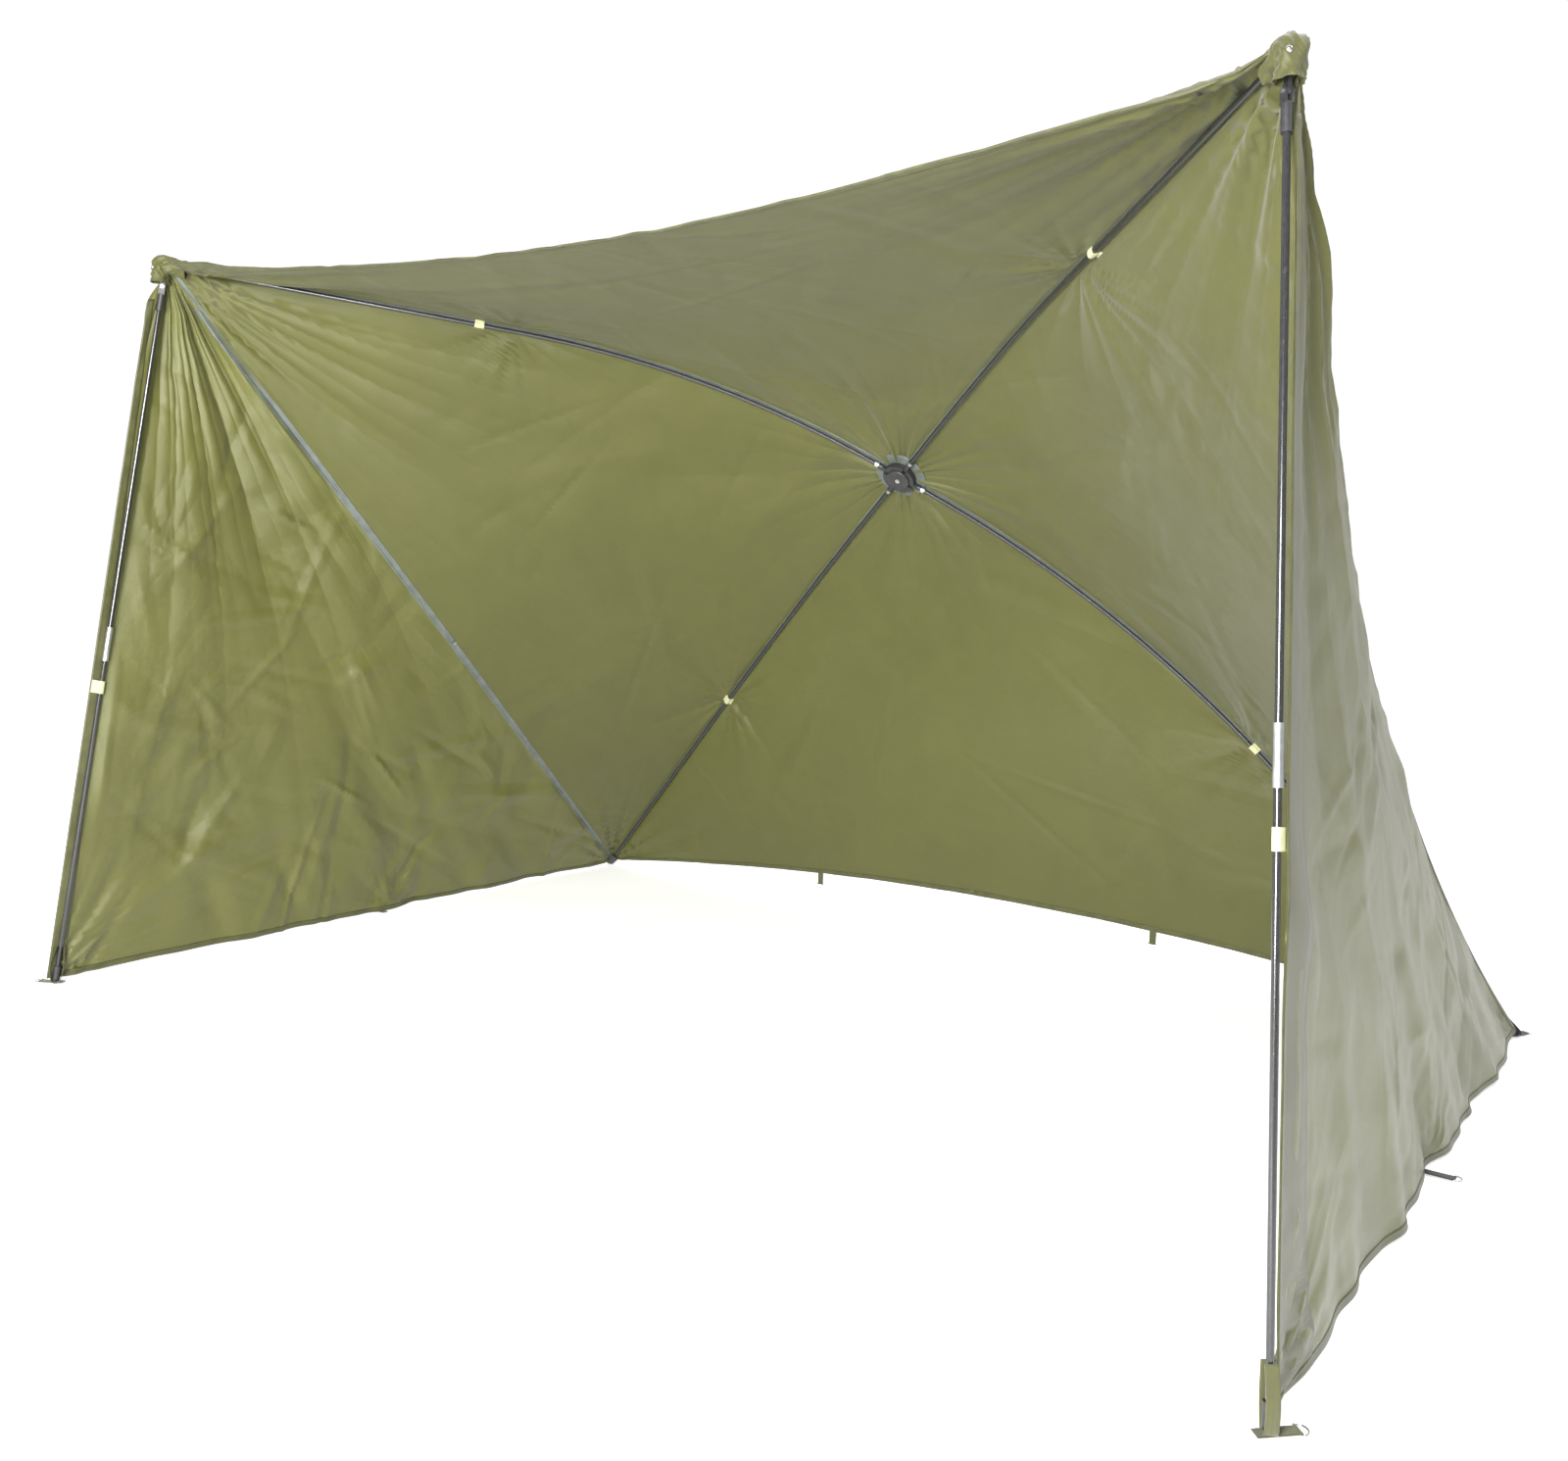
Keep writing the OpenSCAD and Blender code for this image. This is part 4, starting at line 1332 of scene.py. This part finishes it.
@dataclass
class SewnTabs:
    """The webbing tabs on rods and hems, and the steel rings that ride with the cloth."""

    bones: Skeleton
    canopy: Canopy
    wings: Wings
    web: float = 1.2 * MM
    rib_tab_at: float = 960 * MM
    leg_tab_up: float = 614 * MM
    ring_wire: float = 2.56 * MM

    def build(self) -> None:
        """Builds all straps and rings."""
        for side in Side:
            for end in End:
                self._rib_tab(self.bones.rib(end, side))
            self._leg_tab(side)
            self._foot_strap(side)
            lower, rear = Carrier(f"leg_lower_{side.word}"), Carrier(f"rib_rear_{side.word}")
            self._ring_tab(side, "foot", lower, OLIVE_WEB, "olive_webbing", 22 * MM)
            self._ring_tab(side, "corner", rear, BLACK_WEB, "dark_webbing", 10 * MM)
            self._corner_pocket(side)
            self._wing_tab(side)
            self._back_tab(side)

    def _rib_tab(self, rib: Rib) -> None:
        """Cream loop that ties the cloth to a rib."""
        share = self.rib_tab_at / rib.length
        middle, along = rib.at(np.array(share)), rib.tangent(share)
        side, up = rib.across, unit(np.cross(along, rib.across))
        up = up if up @ rib.up > 0 else -up
        half = [(5.4, -1.5), (6.4, 2.4), (9, 3.6), (12, 2.6)]
        flat = [*((-x, y) for x, y in half[::-1]), (0, -5.7), *half]
        path = smooth_path([middle + x * MM * side + y * MM * up for x, y in flat], 60)
        name = f"rib_tab_{rib.end.value}_{rib.side.word}"
        piece = strap(f"{name}_web", path, along, 20 * MM, self.web, CREAM_WEB, "cream_webbing",
                      Carrier(rib.body))
        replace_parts(piece, name)

    def _leg_frame(self, side: Side) -> tuple[Array, Array, Array]:
        """Down the leg, and two directions square to it: outwards and backwards."""
        down = unit(self.bones.foot(side) - self.bones.leg_top(side))
        back = unit(np.array([0, 1.0, 0]) - down[1] * down)
        out = np.cross(back, down)
        return down, out if out[0] * side.value > 0 else -out, back

    def _leg_tab(self, side: Side) -> None:
        """Cream loop that ties the wing's edge to the leg."""
        down, out, back = self._leg_frame(side)
        middle = self.bones.foot(side) - down * self.leg_tab_up
        edge_out, edge_back = self.wings.edge[side]
        start = edge_out * out + (edge_back + 16 * MM) * back
        turns = math.atan2(edge_back, edge_out) + np.radians([40, 90, 140, 180, 220, 270, 320])
        loop = [5.6 * MM * (math.cos(a) * out + math.sin(a) * back) for a in turns]
        end = edge_out * out + edge_back * back
        path = smooth_path([middle + p for p in (start * 1.15, *loop, end * 1.02)], 70)
        name = f"leg_tab_{side.word}"
        carrier = Carrier(f"leg_{side.word}")
        piece = strap(f"{name}_web", path, down, 26 * MM, self.web, CREAM_WEB, "cream_webbing", carrier)
        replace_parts(piece, name)

    def _foot_strap(self, side: Side) -> None:
        """Olive loop under a foot."""
        down, _, _ = self._leg_frame(side)
        wide = unit(np.cross([0, 0, 1.0], down))
        beside = unit(np.cross(wide, down))
        foot = self.bones.foot(side)
        flat = [(-6.2, 66), (-10, 50), (-13, 30), (-11, 10), (-6.6, -5.4), (0, -8.6),
                (6.6, -5.4), (10, 10), (10.5, 30), (8.6, 50), (6.2, 66)]
        path = smooth_path([foot + x * MM * beside - y * MM * down for x, y in flat], 80)
        name = f"foot_strap_{side.word}"
        carrier = Carrier(f"leg_lower_{side.word}")
        piece = strap(f"{name}_web", path, wide, 15.5 * MM, self.web, OLIVE_WEB, "olive_webbing", carrier)
        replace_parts(piece, name)

    def _ring_tab(self, side: Side, where: str, carrier: Carrier, finish: object, slot: str,
                  tuck: float) -> None:
        """Peg tab that ends round the bar of a hinged ring."""
        hinge = joint(f"{where}_ring_{side.word}_swing")
        bar, wide = np.array(hinge["pos_m"]), unit(hinge["axis"])
        near = self.bones.foot(side) if where == "foot" else self.bones.rear_tip(side)
        out = np.cross([0, 0, 1.0], wide)
        out = out if out @ (bar - near) > 0 else -out
        name = f"{where}_tab_{side.word}"
        tab = PegTab(bar - out * TAB_LENGTH, out, wide, tuck=tuck)
        piece = tab.build(f"{name}_web", finish, slot, carrier)
        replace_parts(piece, f"foot_strap_{side.word}" if where == "foot" else name)

    def _corner_pocket(self, side: Side) -> None:
        """Black webbing pocket that a rear rib's end cap stands in."""
        rib = self.bones.rib(End.REAR, side)
        back = rib.tangent(0.99)
        across, up = rib.across, unit(np.cross(back, rib.across))
        up = up if up @ rib.up > 0 else -up
        flat = [(-44, 8.2), (-20, 8.3), (-4, 8.3), (5, 7.4), (8.4, 2.5),
                (8.4, -3), (5, -7.5), (-4, -8.2), (-20, -8.2), (-34, -8.0)]
        path = smooth_path([rib.tip + x * MM * back + y * MM * up for x, y in flat], 70)
        path[:, 2] = np.maximum(path[:, 2], 0.9 * MM)
        strap(f"corner_pocket_{side.word}", path, across, 17 * MM, self.web, BLACK_WEB, "dark_webbing",
              Carrier(rib.body))

    def _copied(self, name: str, node: str, side: Side, finish: object, slot: str, carrier: Carrier) -> None:
        """One side's half of a two-sided set of rings, as a piece of its own."""
        bm = bmesh.new()
        bm.from_mesh(frame["nodes"][node].data)
        bmesh.ops.remove_doubles(bm, verts=bm.verts[:], dist=1e-6)
        other = [v for v in bm.verts if v.co.x * side.value < 0]
        bmesh.ops.delete(bm, geom=other, context="VERTS")
        bmesh.ops.recalc_face_normals(bm, faces=bm.faces[:])
        piece = add_piece(name, bm, finish, slot, carrier)
        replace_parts(piece, node)

    def _wing_tab(self, side: Side) -> None:
        """Black peg tab and ring at the middle of a wing's hem."""
        low, high = (np.array(c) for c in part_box("wing_tabs"))
        carrier = self.wings.carrier(side)
        outer = high[0] if side is Side.RIGHT else low[0]
        bar = np.array([outer - side.value * self.ring_wire, (low[1] + high[1]) / 2, self.ring_wire])
        out = np.array([side.value, 0, 0])
        tab = PegTab(bar - out * TAB_LENGTH, out, np.array([0, 1.0, 0]), tuck=16 * MM)
        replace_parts(tab.build(f"wing_tab_{side.word}", BLACK_WEB, "dark_webbing", carrier), "wing_tabs")
        self._copied(f"wing_ring_{side.word}", "wing_rings", side, RING_STEEL, "ring_steel", carrier)

    def _back_tab(self, side: Side) -> None:
        """Olive peg tab and ring that hang from the back hem."""
        low, high = (np.array(c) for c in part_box("back_tabs"))
        carrier = rib_carrier(self.bones.rib(End.REAR, side))
        x = (high[0] - 8 * MM) if side is Side.RIGHT else (low[0] + 8 * MM)
        bar = np.array([x, (low[1] + high[1]) / 2, low[2] + self.ring_wire])
        out = np.array([0, 0, -1.0])
        tab = PegTab(bar - out * TAB_LENGTH, out, np.array([1.0, 0, 0]), tuck=14 * MM)
        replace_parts(tab.build(f"back_tab_{side.word}", OLIVE_WEB, "olive_webbing", carrier), "back_tabs")
        self._copied(f"back_ring_{side.word}", "back_rings", side, RING_STEEL, "ring_steel", carrier)


# ---------------------------------------------------------------- the frame's own pieces


@dataclass
class Poles:
    """Finishes for the rods, fittings and hub, whose shapes are the frame's own."""

    finishes: dict[str, object] = field(default_factory=lambda: {
        "hub_body": NYLON, "hub_cap": NYLON, "hub_screw": STEEL, "hub_pins": STEEL, "rib_tab": CREAM_WEB,
        "rib": ROD, "root": NYLON, "crimp": STEEL, "corner_bracket": NYLON, "leg_pin": STEEL,
        "rear_tip": NYLON, "leg_fork": NYLON, "leg_upper": ROD, "ferrule": STEEL, "leg_lower": ROD,
        "foot_cap": NYLON,
        "foot_ring": RING_STEEL, "corner_ring": RING_STEEL})

    def dress(self) -> None:
        """Gives each carried-over node its finish."""
        for name, node in frame["nodes"].items():
            key = next((k for k in self.finishes if name.startswith(k)), None)
            if key is None:
                continue
            for slot in node.material_slots:
                slot.material = dressed(self.finishes[key])
            LOG.info("%s dressed as %s", name, self.finishes[key].name)


# ---------------------------------------------------------------- studio


@dataclass
class Studio:
    """Camera, floor and soft lights."""

    eye: tuple[float, float, float] = (1.6395, -2.272, 0.8875)
    forward: tuple[float, float, float] = (-0.5822, 0.8053, -0.1120)
    roll: float = 0.0252
    lens: float = 32.48
    bright_way: tuple[float, float, float] = (-0.586, 0.81, 0.1)
    surround: float = 1.05

    def camera(self) -> None:
        """Places the camera."""
        data = bpy.data.cameras.new("view")
        data.lens, data.sensor_width, data.sensor_fit = self.lens, 36.0, "HORIZONTAL"
        data.clip_start, data.clip_end = 0.05, 60.0
        forward = Vector(self.forward).normalized()
        level = forward.cross(Vector((0, 0, 1))).normalized()
        upright = level.cross(forward)
        right = math.cos(self.roll) * level + math.sin(self.roll) * upright
        up = right.cross(forward)
        turn = Matrix((right, up, -forward)).transposed().to_4x4()
        camera = bpy.data.objects.new("view", data)
        camera.matrix_world = Matrix.Translation(Vector(self.eye)) @ turn
        bpy.context.scene.collection.objects.link(camera)
        bpy.context.scene.camera = camera

    def floor(self) -> None:
        """A wide pale floor."""
        bm = bmesh.new()
        bmesh.ops.create_grid(bm, x_segments=8, y_segments=8, size=30.0)
        bmesh.ops.translate(bm, vec=(0, 0, -1.2 * MM), verts=bm.verts[:])
        mesh = bpy.data.meshes.new("floor")
        bm.to_mesh(mesh)
        bm.free()
        mesh.materials.append(dressed(Floor()))
        floor = bpy.data.objects.new("floor", mesh)
        bpy.context.scene.collection.objects.link(floor)

    def lights(self) -> None:
        """A surround that is white behind the shelter and grey in front, and large soft lamps."""
        world = bpy.data.worlds.new("surround")
        bpy.context.scene.world = world
        SurroundShader(world).graded(self.bright_way, (-0.2, 0.55), (0.42, 1.0), self.surround)
        bpy.context.scene.view_settings.view_transform = "Standard"
        self._lamp("key", (1.1, -3.6, 1.3), (-1.1, -0.1, 0.7), 1.3, 360)
        self._lamp("side", (2.4, -0.3, 3.0), (1.2, -0.4, 1.5), 0.9, 22)
        self._lamp("top", (0.3, 0.6, 4.6), (0, 0, 0.8), 3.6, 110)

    def _lamp(self, name: str, at: Sequence[float], aim: Sequence[float], size: float, power: float) -> None:
        """Adds a square area lamp.

        Args:
            name: Name of the lamp.
            at: Where it stands.
            aim: Point that it is aimed at.
            size: Side of the square.
            power: Power in watts.
        """
        data = bpy.data.lights.new(name, "AREA")
        data.size, data.energy = size, power
        lamp = bpy.data.objects.new(name, data)
        lamp.location = at
        lamp.rotation_euler = (Vector(aim) - Vector(at)).to_track_quat("-Z", "Y").to_euler()
        bpy.context.scene.collection.objects.link(lamp)


def main() -> None:
    """Builds the shelter's looks in order."""
    logging.basicConfig(level=logging.INFO, format="%(name)s %(message)s")
    studio = Studio()
    studio.camera()
    bones = Skeleton()
    canopy = Canopy(bones)
    wings = Wings(bones, canopy)
    canopy.build()
    wings.build()
    CornerHoods(bones).build()
    SewnTabs(bones, canopy, wings).build()
    Poles().dress()
    studio.floor()
    studio.lights()


if __name__ == "__main__":
    main()
